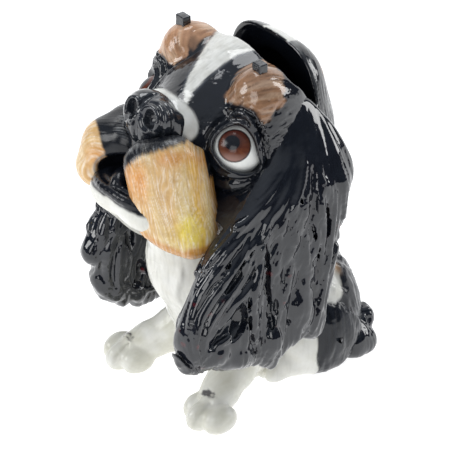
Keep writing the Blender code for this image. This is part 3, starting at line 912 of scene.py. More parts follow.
# ================================================================== NOSE
def nose():
    c = Clay((-21, -24, 128), (21, 10, 166), 0.40)
    c.add(d_ball((0, -7.0, 147), (15.8, 10.6, 12.8)), 2)
    c.add(d_ball((0, -8.5, 144.5), (10.5, 8.5, 10)), 3)
    # the nose turns a little to the dog's left
    c.add(d_ball((8.6, -9.2, 151.6), (8.4, 7.6, 8.4)), 1.6)
    c.add(d_ball((-2.6, -9.8, 152.6), (7.0, 7.2, 7.6)), 1.6)
    c.add(d_ball((12.0, -4.6, 146.0), (5.6, 7.0, 9.0)), 1.6)
    c.add(d_ball((-9.0, -6.0, 147.0), (7.0, 6.6, 8.6)), 1.6)
    for side, N, n in ((1, (8.6, -14.5, 152.6), (0.42, -0.78, 0.46)), (-1, (-2.2, -16, 153.6), (-0.02, -0.87, 0.50))):
        n = np.array(n)
        n /= np.linalg.norm(n)
        ex = np.cross(n, (0, 0, 1))
        ex /= np.linalg.norm(ex)
        ex = ex * (1 if ex[0] > 0 else -1) * side
        ez = np.cross(ex, n)
        ez = ez if ez[2] > 0 else -ez
        N = np.array(N, float)

        def pt(p, q_, n=n, ex=ex, ez=ez, N=N):
            return hit(c, [N + ex * p + ez * q_ + n * 5], n)[0]
        k_ = 1.0 if side > 0 else 0.86
        ring = [pt(4.9 * k_ * math.cos(t), 5.6 * math.sin(t)) for t in np.linspace(-0.9, 4.6, 20)]
        slit = [pt(0.6 + 0.95 * i, -1.6 - 1.1 * i) for i in range(5)]
        groove = [pt(7.6 * math.cos(t), 8.4 * math.sin(t) - 0.6) for t in np.linspace(1.7, -1.0, 16)]
        outer = [pt(10.6 * math.cos(t), 11.0 * math.sin(t) - 1.2) for t in np.linspace(1.2, -1.0, 16)]
        hole = pt(0.2, 0.2)
        for A, B in zip(ring[:-1], ring[1:]):
            c.add(d_seg(A - n * 0.30, B - n * 0.30, 0.95, 0.95), 1.0)
        if side > 0:
            for A, B in zip(groove[:-1], groove[1:]):
                c.cut(d_seg(A, B, 0.6, 0.6), 1.1)
            for A, B in zip(outer[:-1], outer[1:]):
                c.cut(d_seg(A, B, 0.4, 0.4), 0.9)
        for A, B in zip(slit[:-1], slit[1:]):
            c.cut(d_seg(A, B, 1.2, 0.7), 1.1)
        c.cut(d_ball(tuple(hole), (3.7 * k_, 6.0, 4.7), (-20, 0, 0)), 0.9)
    mid = hit(c, [(3.4 + 0.035 * (z - 135), -34, z) for z in np.linspace(161, 135, 14)], (0.1, -0.995, 0))
    for A, B in zip(mid[:-1], mid[1:]):
        c.cut(d_seg(A, B, 0.8, 0.8), 1.4)
    v, q = nets(c)
    v, q = largest(v, q)
    v = relax(v, q, 2)
    n = normals(v, q)
    h = 0.06 * noise(v[:, 0] / 1.3, v[:, 1] / 1.3, v[:, 2] / 1.3, 3)
    # the nose is a dark grey with random patches, set lighter than the other black glazes: partly its own grey, partly
    # painted reflection
    tone = mixc(np.tile(SOFTBLACK, (len(v), 1)), np.array([0.026, 0.030, 0.036]), 0.5 + 0.5 * noise(v[:, 0] / 3, v[:, 1] / 3, v[:, 2] / 3, 8))
    make("nose_pad", v + n * h[:, None], q, ["nose"], M_NOSE, tone)


# ================================================================== FLEWS
LEFT_FLEW = [((12.6, -18.2, 133.6, 10.8), (16.0, -14.2, 108.2, 12.2)), ((17.8, -14.0, 136.6, 10.6), (22.5, -11.6, 105.6, 12.4)),
             ((21.6, -9.8, 138.0, 9.8), (29.3, -6.8, 103.6, 12.3)), ((20.0, -3.0, 130.0, 11.0), (24.0, -4.0, 112.0, 12.0))]
RIGHT_FLEW = [((-15, -9, 130), (12, 12, 12.5)), ((-22, -4, 131), (12, 10, 12)), ((-24, -13, 124), (13.5, 14, 15)), ((-27.5, -15.5, 115), (11.5, 12, 12))]


def flews():
    for s, side in ((1, "left"), (-1, "right")):
        c = Clay((min(0, 45 * s) - 2, -36, 84), (max(0, 45 * s) + 2, 12, 152), 0.44)
        if s > 0:
            for a, b in LEFT_FLEW:
                c.add(d_seg(a[:3], b[:3], a[3], b[3]), 3.5)
        else:
            for b, r in RIGHT_FLEW:
                c.add(d_ball(b, tuple(t - 0.6 for t in r)), 3.6)
        if s < 0:
            c.cut(d_ball((-5, -20, 118.2), (13.6, 15, 10.8)), 2.0)
        c.cut(d_ball((0, -7.0, 147), (16.4, 11.2, 13.4)), 1.2)
        v, q = nets(c)
        v, q = largest(v, q)
        v = relax(v, q, 2)
        n = normals(v, q)
        m = v * np.array([s, 1, 1])
        k = len(v)
        # strokes run from under the nose down to the tip
        uv = sheet_uv(m, False)
        u, rad = (uv[:, 0] - 0.24 * uv[:, 1]) / 2.4, uv[:, 1] / 2.4
        u = u + 1.6 * noise(u / 9, rad / 14, 0, 7) + 0.6 * noise(u / 3.5, rad / 8, 0, 17)
        g1 = strokes(u, rad, 1.4, 13, 21, 1.0, 0.20)
        g2 = strokes(u, rad, 0.9, 9, 22, 0.8, 0.22)
        lt = strokes(u + 0.75, rad + 4, 1.35, 12, 25, 1.3, 0.17)
        big = noise(u / 5.0, rad / 22, 0, 23)
        h = -0.17 * g1 - 0.09 * g2 + 0.07 * lt + 0.25 * big
        U, V = uv[:, 0] + 1.2 * big, uv[:, 1] + 2.0 * big
        tone = mixc(np.tile([0.68, 0.45, 0.20], (k, 1)), np.array([0.74, 0.58, 0.30]), np.clip(0.5 + 0.9 * big, 0, 1))
        warm = np.exp(-((U - 140) / 10) ** 2 - ((V - 180) / 20) ** 2) + 0.8 * np.exp(-((V - 158) / 8) ** 2) * sstep(150, 165, U) + 0.7 * (1 - sstep(127, 137, U))
        tone = mixc(tone, np.array([0.70, 0.29, 0.06]), np.clip(warm, 0, 1) * 0.85)
        gold = np.exp(-((U - np.interp(V, [150, 235], [190, 203])) / 6.5) ** 2) * sstep(148, 165, V)
        tone = mixc(tone, np.array([0.72, 0.42, 0.06]), np.clip(gold, 0, 1) * 0.85)
        yel = np.exp(-((U - 190) / 15) ** 2 - ((V - 233) / 17) ** 2)
        tone = mixc(tone, np.array([0.80, 0.64, 0.06]), np.clip(yel * 1.2, 0, 1) * 0.9)
        org = sstep(np.interp(V, [150, 200, 240], [199, 209, 213]), np.interp(V, [150, 200, 240], [206, 216, 219]), U) + sstep(0, 6, V - np.interp(U, [140, 160, 185, 215], [226, 240, 250, 240]))
        tone = mixc(tone, np.array([0.60, 0.27, 0.045]), np.clip(org, 0, 1) * 0.9)
        fine = strokes(u + 0.3, rad + 2, 0.9, 9, 26, 1.2, 0.22)
        tone = mixc(tone, np.array([0.92, 0.87, 0.76]), np.clip(np.maximum(lt, 0.9 * fine) * 1.25 - 0.15, 0, 1) * (0.86 - 0.25 * np.clip(warm, 0, 1)) * (1 - 0.45 * np.clip(org, 0, 1)) * (1 - 0.3 * np.clip(gold, 0, 1)))
        tone = mixc(tone, np.array([0.42, 0.19, 0.045]), np.clip(g1 * 0.75 + g2 * 0.4 - 0.1, 0, 1) * 0.62)
        # a dark brown band painted along the front edge of the left flew: painted shade
        tone = mixc(tone, np.array([0.13, 0.075, 0.045]), (1 - sstep(121, 133, U + 2 * lt)) * (0.65 if s > 0 else 0.0))
        # black under the nose, breaking into the tan in spikes
        edge = 3.6 * (lt - g1) + 2.5 * big
        if s > 0:
            lim = np.interp(U, [120, 128, 140, 160, 185, 193, 199, 205, 209], [182, 166, 157, 151, 143, 130, 128, 158, 178]) + edge
            blk = 1 - sstep(-4.0, 3.0, V - lim)
            blk = np.maximum(blk, 1 - sstep(-1.5, 1.5, m[:, 0] - (5.6 + 0.6 * big)))
        else:
            V2 = sheet_uv(v, False)
            lim = np.interp(V2[:, 0], [84, 94, 104, 112], [110, 118, 150, 175]) + edge
            blk = 1 - sstep(-5.0, 5.0, V2[:, 1] - lim)
            mouth = np.sqrt(((v[:, 0] + 5) / 13.6) ** 2 + ((v[:, 1] + 20) / 15) ** 2 + ((v[:, 2] - 118.2) / 10.8) ** 2)
            blk = np.maximum(blk, 1 - sstep(1.0, 1.05, mouth + 0.02 * big))
            # a grey ring painted along the edge of the mouth on the right flew: painted highlight on the lip edge
            tone = mixc(tone, np.array([0.24, 0.235, 0.22]), np.exp(-((mouth - 1.10) / 0.05) ** 2) * 0.85)
        blk = np.maximum(blk, sstep(0, 3, m[:, 1] - 3.5) * (m[:, 2] < 126))
        tone = mixc(tone, BLACK, np.clip(blk, 0, 1))
        wk = strokes(u, rad, 1.0, 5.5, 28, 0.8, 0.22) * blk * np.exp(-((V - (np.interp(U, [120, 160, 190], [143, 146, 132]) + 3)) / 5.5) ** 2)
        tone = mixc(tone, np.array([0.42, 0.44, 0.46]), np.clip(wk, 0, 1) * 0.85)
        make(side + "_lip_pad", v + n * h[:, None], q, [side + "_flew"], M_TAN, tone)


# ================================================================== JAW
def jaw():
    c = Clay((-29, -35, 80), (29, 24, 130), 0.5)
    for b, r in (((0, -16, 112), (19, 13.5, 11)), ((12.5, -18, 110), (12.5, 11.3, 9)), ((-12.5, -18, 110), (12.5, 11.3, 9)),
                 ((0, -8, 104), (19, 15, 14)), ((0, 4, 98), (18, 15, 13))):
        c.add(d_ball(b, r), 6)
    c.cut(d_ball((0, -14, 124), (18, 12.5, 7.5)), 2.0)                    # floor of the mouth
    lip = spline([(-21, -15, 114), (-17.5, -23.5, 115.5), (-8, -28.2, 116.8), (0, -28.8, 117.2), (8, -28.2, 116.8), (17.5, -23.5, 115.5)], 16)
    for A, B in zip(lip[:-1], lip[1:]):
        c.add(d_seg(A, B, 2.2, 2.2), 1.2)
    tongue = spline([(-9, -10, 117), (-6, -19, 119.5), (-2, -24, 119.5)], 8)
    for A, B in zip(tongue[:-1], tongue[1:]):
        c.add(d_seg(A, B, 3.4, 3.2), 2.0)
    v, q = nets(c)
    v, q = largest(v, q)
    v = relax(v, q, 2)
    n = normals(v, q)
    lim = np.interp(v[:, 1], [-30, -24, -16, 0], [113.4, 113.2, 114.0, 114.5])
    mouth = sstep(-0.7, 0.7, v[:, 2] - lim + 0.4 * noise(v[:, 0] / 3, v[:, 1] / 3, 0, 4))
    g = strokes(v[:, 0], v[:, 1] * 0.6 - v[:, 2], 1.6, 9, 5, 0.5)
    tone = mixc(np.tile(CREAM, (len(v), 1)), CREAM * 0.80, g * 0.5)
    tone = mixc(tone, BLACK, mouth)
    make("chin", v - n * (0.16 * g * (1 - mouth))[:, None], q, ["lower_jaw"], M_WHITE, tone)


# ================================================================== EARS
HEAD_BALLS = [((0, 44.5, 123.5), (41, 39.8, 46.5)), ((0, 24, 128), (33, 26, 34)), ((27.5, 31, 154), (13.3, 13.3, 17.2)),
              ((29, 30, 141), (13, 15, 17)), ((29, 26, 120), (14, 17, 16)), ((24, 40, 150), (16, 16, 18)), ((13, 60, 149), (15, 14, 17.5))]


def head_side(y, z):
    """How far out the side of the head is at (y, z)."""
    out = np.full(np.broadcast(y, z).shape, -20.0)
    for c, r in HEAD_BALLS:
        q = 1 - ((y - c[1]) / r[1]) ** 2 - ((z - c[2]) / r[2]) ** 2
        x = np.where(q > 0, c[0] + r[0] * np.sqrt(np.maximum(q, 0)), -20.0)
        out = smax(out, x, 5.0)
    return out


GUIDES = [
    [(34, 146), (32, 136), (19, 127), (2, 118), (-11, 108), (-21, 98), (-29, 86), (-33, 72), (-33, 62), (-27, 51)],
    [(37, 147), (36, 133), (24, 122), (6, 109), (-7, 97), (-19, 85), (-26, 71), (-25, 56), (-20, 46)],
    [(40, 148), (38, 130), (28, 117), (14, 101), (4, 88), (-8, 75), (-17, 61), (-15, 49), (-12, 42)],
    [(43, 149), (40, 128), (32, 113), (21, 96), (12, 80), (6, 64), (2, 50), (2, 39)],
    [(46, 150), (41, 128), (34, 109), (26, 92), (19, 75), (14, 58), (12, 44), (12, 34)],
    [(49, 151), (43, 127), (38, 108), (31, 90), (26, 74), (23, 59), (22, 45), (21, 30)],
    [(52, 151), (48, 128), (46, 106), (43, 86), (40, 73), (36, 59), (33, 48), (32, 39)],
    [(57, 151), (57, 134), (59, 120), (59, 102), (57, 86), (53, 70), (49, 56), (46, 43)],
    [(61, 148), (66, 130), (68, 110), (66, 96), (62, 84), (57, 74), (52, 62), (48, 50)],
]
RIM_LEFT = [(34, 147), (29, 138), (19, 129), (9, 120), (0.5, 113), (-7.5, 106.5), (-14, 98.5), (-18.5, 90), (-22.5, 82), (-27, 74), (-30.5, 66), (-32.5, 58),
            (-31.5, 50), (-25, 44.5), (-16, 41.5), (-6, 39.5), (4, 36), (11, 33.5), (16, 28), (21, 27.5), (26, 31), (30, 37.5), (37, 40), (44, 41), (48.5, 48),
            (51, 57), (54.5, 67), (57.6, 77), (60, 88), (63, 100), (67.5, 111), (69.5, 121), (65, 136), (59, 146), (52, 154), (42, 153)]
RIM_RIGHT = [(34, 147), (29, 138), (21, 128), (13, 116), (7, 104), (3, 94), (0, 86), (-2, 80), (-1.5, 74.5), (-4, 70), (-9, 63), (-11.5, 57), (-11, 50),
             (-6, 44.5), (-7, 37), (-4, 29), (3, 23.5), (12, 18.5), (21, 15.5), (31, 17.5), (38, 25), (46, 33), (51, 44), (56, 56), (61, 70), (65, 84), (68, 97),
             (69, 110), (67, 124), (63, 136), (59, 146), (52, 154), (42, 153)]
LEFT_LOCKS = [
    ([(262, 213), (240, 230), (224, 247), (209, 264), (198, 284), (193, 300)], 1.7, 1.2),
    ([(258, 222), (236, 246), (219, 268), (205, 288), (195, 308), (190, 330), (189, 346)], 2.5, 1.7),
    ([(260, 238), (243, 255), (226, 280), (211, 302), (200, 322), (195, 345), (195, 360)], 2.3, 1.5),
    ([(256, 262), (240, 283), (225, 300), (214, 318), (206, 338), (205, 356)], 2.8, 2.0),
    ([(258, 278), (246, 292), (232, 304), (221, 322), (211, 338)], 2.8, 1.8),
    ([(241, 327), (228, 338), (213, 349), (203, 360)], 1.5, 1.7),
    ([(274, 205), (267, 228), (262, 250), (258, 275), (254, 300), (256, 330), (261, 355), (262, 366)], 2.0, 1.8),
    ([(286, 205), (281, 235), (277, 262), (278, 285), (280, 300)], 3.0, 1.4),
    ([(288, 245), (289, 270), (286, 292), (283, 315), (281, 340), (279, 356)], 2.4, 1.8),
    ([(298, 195), (293, 222), (296, 250), (303, 272)], 2.8, 1.6),
    ([(307, 200), (303, 232), (306, 258), (314, 282)], 2.5, 1.7),
    ([(320, 195), (323, 222), (322, 245), (320, 262), (322, 285)], 2.3, 1.6),
    ([(336, 190), (334, 215), (330, 240), (326, 265), (322, 292), (317, 320), (311, 334)], 1.7, 2.0),
    ([(346, 190), (343, 215), (337, 245), (332, 268)], 2.2, 1.5),
    ([(336, 146), (342, 165), (345, 185), (346, 205)], 2.3, 1.5),
    ([(311, 148), (317, 168), (327, 186), (334, 205)], 2.5, 1.4),
    ([(307, 152), (304, 172), (301, 190), (297, 205)], 2.0, 1.3),
    ([(296, 165), (290, 185), (280, 205), (268, 222)], 2.4, 1.3),
    ([(284, 178), (268, 196), (250, 212)], 2.0, 1.0),
    ([(246, 298), (244, 318), (248, 345)], 1.6, 1.6),
    ([(302, 298), (305, 321)], 6.2, 1.7), ([(222, 354), (212, 360)], 4.8, 1.4),
    ([(242, 358), (250, 363)], 4.4, 1.0), ([(270, 333), (274, 352)], 4.4, 1.4), ([(226, 262), (214, 284)], 3.4, 0.8)]
LEFT_VALLEYS = [
    ([(263, 240), (267, 262), (268, 290), (270, 312), (272, 328)], 1.9, -2.6), ([(242, 308), (239, 325), (233, 338)], 3.6, -2.8),
    ([(250, 300), (251, 330), (256, 352)], 0.9, -1.8), ([(230, 262), (222, 280), (216, 292)], 1.0, -1.5), ([(246, 264), (236, 281), (226, 295)], 1.0, -1.5),
    ([(298, 307), (300, 322)], 0.9, -1.8), ([(313, 225), (319, 245), (317, 265)], 1.0, -1.6), ([(302, 200), (304, 221)], 1.1, -1.8),
    ([(193, 318), (189, 338)], 0.8, -1.2), ([(288, 298), (289, 324)], 0.8, -1.4), ([(292, 232), (291, 262)], 0.9, -1.6), ([(328, 200), (327, 235)], 1.0, -1.6),
    ([(232, 240), (214, 258), (200, 276)], 0.9, -1.4), ([(254, 250), (240, 268), (232, 282)], 0.8, -1.3), ([(276, 300), (276, 322)], 0.9, -1.6)]
RIGHT_LOCKS = [
    ([(106, 214), (102, 232), (104, 250)], 2.6, 1.3), ([(116, 218), (112, 240), (107, 262), (107, 285), (110, 297)], 2.4, 1.5),
    ([(122, 222), (121, 245), (119, 268), (119, 288), (118, 299)], 2.2, 1.5), ([(127, 240), (127, 262), (124, 282)], 2.0, 1.3),
    ([(98, 262), (98, 280), (100, 291)], 1.8, 1.4), ([(124, 284), (138, 291), (152, 288), (161, 286)], 1.4, 1.7), ([(138, 262), (148, 272), (157, 284)], 1.2, 1.5),
    ([(85, 249), (85, 258)], 4.8, 0.8), ([(95, 279), (96, 286)], 3.8, 0.6), ([(97, 207), (96, 212)], 3.2, 0.5),
    ([(116, 290), (117, 296)], 4.2, 0.7), ([(137, 295), (142, 296)], 3.8, 0.7), ([(104, 286), (106, 293)], 3.6, 0.6)]
RIGHT_VALLEYS = [
    ([(131, 226), (130, 250)], 2.2, -2.2), ([(140, 262), (142, 275), (136, 285)], 2.8, -2.4), ([(110, 262), (110, 276)], 0.8, -1.6),
    ([(116, 234), (110, 246)], 0.8, -1.6), ([(104, 228), (98, 240)], 0.8, -1.4), ([(117, 286), (116, 292)], 0.9, -1.4), ([(122, 252), (120, 262)], 0.8, -1.3)]


def ear(side, s, guides, rim, seed, locks):
    """A heavy ear: one thick sheet hung from the skull, carved into folds that fan out from the root,
    with separate tapered locks laid over it. Built as a left ear and mirrored for the right."""
    c = Clay((26, -40, 10), (66, 76, 160), 0.52)
    fan = Fan(guides, (-44, 6), (80, 164), 0.7)
    Y2, Z2 = fan.grid()
    T, S = fan.T, fan.S
    YY, ZZ = np.broadcast_arrays(Y2, Z2)
    big = noise(T * 1.30 + 0.45 * noise(T * 0.9, S * 3.4, 0, seed + 5), S * 2.7, 0, seed)
    bigr = np.abs(big) ** 0.65
    med = noise(T * 3.3 + 0.45 * noise(T * 2.0, S * 4.0, 0, seed + 6), S * 3.4, 0, seed + 1)
    medr = np.abs(med) ** 0.65
    D = poly_dist(np.stack([YY.ravel(), ZZ.ravel()], 1), curve2(rim)).reshape(YY.shape)
    low = sstep(0.45, 0.85, S)
    D = D - (bigr - 0.66) * 5.5 * low - (medr - 0.6) * 1.8 * low + 0.6
    free = sstep(0.10, 0.45, S)                                   # 0 where the ear still lies on the skull
    w = 10 + 13 * sstep(75, 125, ZZ)
    prof = np.sqrt(np.clip(1 - (1 + np.clip(D / w, -1, 0)) ** 2, 0, 1))
    xm = np.interp(ZZ, [10, 24, 40, 60, 100, 118, 130, 145, 158], [46.0, 49.0, 50.0, 49.4, 47.4, 46.0, 43.5, 37.5, 33])
    to = np.interp(ZZ, [10, 60, 100, 118, 135, 158], [7.6, 8.6, 9.0, 9.0, 7.0, 3.5])
    wav = noise(T * 0.8, S * 4.2, 0, seed + 31)
    Ho = (3.4 * (bigr - 0.50) + 1.25 * (medr - 0.5) + 1.5 * wav) * (0.22 + 0.78 * free)
    Hi = (2.2 * (np.roll(bigr, 9, 0) - 0.50) + 1.0 * (medr - 0.5)) * free
    hs = head_side(YY, ZZ)
    xo = smax(xm + (to + Ho) * prof, np.where(S < 0.5, hs - 1.2 + 2.6 * sstep(0, 11, -D) + 0.3 * Ho, -20), 4.0)
    xi = smin(xm - (8.0 + Hi) * prof, np.where(S < 0.42, hs - 5.0, 99), 3.0)
    gy, gz = c.ax[1].astype(float), c.ax[2].astype(float)
    GY, GZ = np.meshgrid(gy, gz, indexing="ij")
    XO, XI, DD = fan.look(xo, GY, GZ), fan.look(xi, GY, GZ), fan.look(D, GY, GZ)
    X = c.ax[0][:, None, None]
    f = np.maximum(X - XO[None], XI[None] - X)
    c.f = np.minimum(smax(f * 0.8, np.broadcast_to(DD[None], f.shape), 1.5), 50).astype(np.float32)
    base = copy_clay(c)
    # locks
    rng = np.random.RandomState(seed)
    n = np.array([1.0, 0, 0])
    for i in range(locks):
        outer = rng.uniform() < (0.50 if s > 0 else 0.72)
        t0, s0 = rng.uniform(-0.1, fan.n - 0.9), rng.uniform(0.02, 0.66)
        ln = rng.uniform(0.22, 0.46)
        drift, amp, ph, fr = rng.uniform(-0.45, 0.45), rng.uniform(0.05, 0.22), rng.uniform(0, 6.28), rng.uniform(5, 10)
        r0 = (rng.uniform(1.4, 3.0) if i % 5 else rng.uniform(3.4, 4.8)) * (0.75 + 0.4 * s0)
        lift = rng.uniform(-0.3, 1.9) * (1.0 if s0 > 0.15 else 0.45)
        steps = 16
        ww = np.linspace(0, 1, steps + 1)
        P = fan.point(t0 + drift * ww + amp * np.sin(ph + fr * ww), s0 + ln * ww)
        x = fan.look(xo if outer else xi, P[:, 0], P[:, 1])
        d = fan.look(D, P[:, 0], P[:, 1])
        r = r0 * np.sin(np.pi * (0.06 + 0.88 * ww)) ** 0.75 + 0.35
        if outer:
            x = x - 0.62 * r + lift * np.sin(np.pi * ww)
        else:
            x = x + 0.62 * r - lift * np.sin(np.pi * ww)
        for k in range(steps):
            if d[k + 1] > 0.6 - 0.7 * r[k + 1] or x[k] < 20:
                break
            c.add(d_seg((x[k], P[k, 0], P[k, 1]), (x[k + 1], P[k + 1, 0], P[k + 1, 1]), r[k], r[k + 1], (n, 0.66)), 0.8)
    x0 = 65.5 if s > 0 else 26.5
    for path, r, lift in (LEFT_LOCKS if s > 0 else RIGHT_LOCKS):
        strand(c, base, path, r, lift, x0, s, k=0.7 if r < 3.5 else 1.8, blunt=0.35 if r < 3.5 else 0.8)
    for path, r, lift in (LEFT_VALLEYS if s > 0 else RIGHT_VALLEYS):
        strand(c, base, path, r, lift, x0, s)
    calm = 0.80 * sstep(112, 126, c.ax[2].astype(float))[None, None, :]
    c.f = (c.f * (1 - calm) + (base.f + 0.25) * calm).astype(np.float32)
    c.cut(d_ball((0, 51.75, 150), (31, 12, 60)), 0.5)
    v, q = nets(c)
    v, q = largest(v, q)
    v = relax(v, q, 2)
    nn = normals(v, q)
    X, Y, Z = v.T
    t, ss = fan.look(T, Y, Z), fan.look(S, Y, Z)
    L = ss * 115
    wid = 13.5 * (0.35 + 0.9 * ss)                                # mm between two guides
    face = np.sign(nn[:, 0])
    u = t * wid.mean() + 1.2 * noise(t * 1.5, L / 15, face, seed + 3) + 20 * face
    g1 = strokes(u, L, 2.6, 17, seed + 10)
    g2 = strokes(u, L, 1.5, 11, seed + 20)
    keep = 0.55 + 0.45 * noise(t, L / 25, face, seed + 4)
    flat = sstep(0.25, 0.6, np.abs(nn[:, 0]))
    calm = 0.10 + 0.90 * sstep(0.14, 0.42, ss)
    h = (-(0.55 * g1 + 0.28 * g2 * keep) * (0.3 + 0.7 * flat) + 0.10 * noise(X / 3, Y / 3, Z / 3, seed)) * calm
    tone = mixc(np.tile(BLACK, (len(v), 1)), SOFTBLACK, np.clip(0.5 - 0.8 * g2, 0, 1))
    red = sstep(0.66, 0.80, noise(Y / 3.6, Z / 2.6, X / 4, seed + 9)) * sstep(0.15, 0.5, noise(Y / 20, Z / 20, face, seed + 8)) * sstep(0.42, 0.6, ss)
    tone = mixc(tone, np.array([0.11, 0.008, 0.012]), red * 0.75)
    v = v + nn * h[:, None]
    if s < 0:
        v = v * np.array([-1.0, 1, 1])
        q = q[:, ::-1]
    make(side + "_ear_hair", v, q, [side + "_ear"], M_BLACK, tone)


def ears():
    ear("left", 1, GUIDES, RIM_LEFT, 101, 90)
    right = []
    for g in GUIDES:
        p = spline(g, 12)
        wgt = sstep(0.0, 0.55, np.linspace(0, 1, 12))
        right.append([(a + 13 * k, b - 11 * k) for (a, b), k in zip(p, wgt)])
    ear("right", -1, right, RIM_RIGHT, 202, 95)


# ================================================================== TORSO
def ground(c, k=1.5):
    X, Y, Z = c.ax[0][:, None, None], c.ax[1][None, :, None], c.ax[2][None, None, :]
    c.f = smax(c.f, -Z + 0 * X + 0 * Y, k).astype(np.float32)


def torso():
    c = Clay((-38, -12, -4), (38, 108, 108), 0.75)
    chain = [(0, 12, 84, 19), (0, 18, 66, 21.5), (0, 34, 40, 26), (0, 40, 24, 26)]
    for a, b in zip(chain[:-1], chain[1:]):
        c.add(d_seg(a[:3], b[:3], a[3], b[3]), 6)
    for b in (((0, 66, 34), (28, 30, 32)), ((0, 48, 52), (25, 28, 30), (30, 0, 0)), ((0, 76, 14), (29, 26, 24)),
              ((15, 75.6, 31), (16, 17.4, 22.6)), ((-15, 75.6, 31), (16, 17.4, 22.6)), ((16, 79, 20), (14.5, 17.8, 21)), ((-16, 79, 20), (14.5, 17.8, 21))):
        c.add(d_ball(*b), 7)
    base = Clay.__new__(Clay)
    base.lo, base.h, base.n, base.ax, base.f = c.lo, c.h, c.n, c.ax, c.f.copy()
    rng = np.random.RandomState(77)
    for i in range(64):                                # fur down the back and over the rump
        a0 = rng.uniform(-118, 118)
        z0 = rng.uniform(40, 84) if i % 2 else rng.uniform(22, 50)
        z1 = max(2.0, z0 - rng.uniform(22, 40))
        sweep = rng.uniform(-10, 10)
        w = np.linspace(0, 1, 12)
        an = np.radians(a0 + sweep * w - np.sign(a0) * 10 * w + 3 * np.sin(6 * w + i))
        z = z0 + (z1 - z0) * w
        cy = np.interp(z, [0, 34, 60, 84], [60, 62, 46, 20])
        d = np.stack([np.sin(an), np.cos(an), 0 * an], 1)
        if abs(a0) > 75 and z0 > 50:
            continue
        P = np.stack([48 * np.sin(an), cy + 48 * np.cos(an), z], 1)
        lay(c, P, d, rng.uniform(1.8, 3.6), rng.uniform(0.2, 1.2), f0=base)
    for i in range(16):                                # long soft folds of chest hair
        x0 = rng.uniform(-15, 15)
        w = np.linspace(0, 1, 10)
        z = 80 - rng.uniform(0, 22) - w * rng.uniform(22, 36)
        P = np.stack([x0 * (1 - 0.35 * w) + 1.2 * np.sin(5 * w + i), np.full(10, -20.0), z], 1)
        lay(c, P, (0, -1, 0), rng.uniform(1.5, 2.6), 0.1, sink=0.8, k=2.0, f0=base)
    c.cut(d_ball((0, 62, 32), (20, 26, 24)), 0.5)
    c.cut(d_seg((0, 72, -10), (0, 72, 20), 6, 6), 0.6)
    ground(c)
    v, q = nets(c)
    v, q = largest(v, q)
    v = relax(v, q, 2)
    v[:, 2] = np.maximum(v[:, 2], 0.0)
    n = normals(v, q)
    X, Y, Z = v.T
    ang = np.arctan2(X, Y - 45) * 34
    u = ang + 1.2 * noise(ang / 8, Z / 14, 0, 43)
    g1 = strokes(u, Z, 2.2, 14, 41)
    g2 = strokes(u, Z, 1.2, 9, 42)
    st = noise(u / 1.6, Z / 12, 0, 44)
    # black saddle with a white patch left on each flank
    back = sstep(-1.5, 1.5, Y + 0.42 * (Z - 35) - 68 + 1.6 * st)
    patch = np.sqrt(((np.abs(X) - 27) / 11) ** 2 + ((Y - 71.5) / 7.5) ** 2 + ((Z - 46.5) / 9.5) ** 2)
    wp = 1 - sstep(0.9, 1.12, patch + 0.10 * st)
    blk = back * (1 - wp)
    tan = np.exp(-((patch - 1.0) / 0.22) ** 2) * sstep(46, 52, Z) * back
    tone = mixc(np.tile(CREAM, (len(v), 1)), CREAM * 0.70, np.clip(g1 * 0.55 + g2 * 0.35, 0, 1))
    tone = mixc(tone, mixc(np.tile(BLACK, (len(v), 1)), SOFTBLACK, np.clip(0.5 + 0.5 * st, 0, 1)), blk)
    tone = mixc(tone, np.array([0.50, 0.33, 0.20]), np.clip(tan, 0, 1) * 0.8)
    h = -(0.40 * g1 + 0.20 * g2) * (0.30 + 0.70 * back) * sstep(0.3, 2.5, Z)
    make("body", v + n * h[:, None], q, ["torso"], M_WHITE, tone)


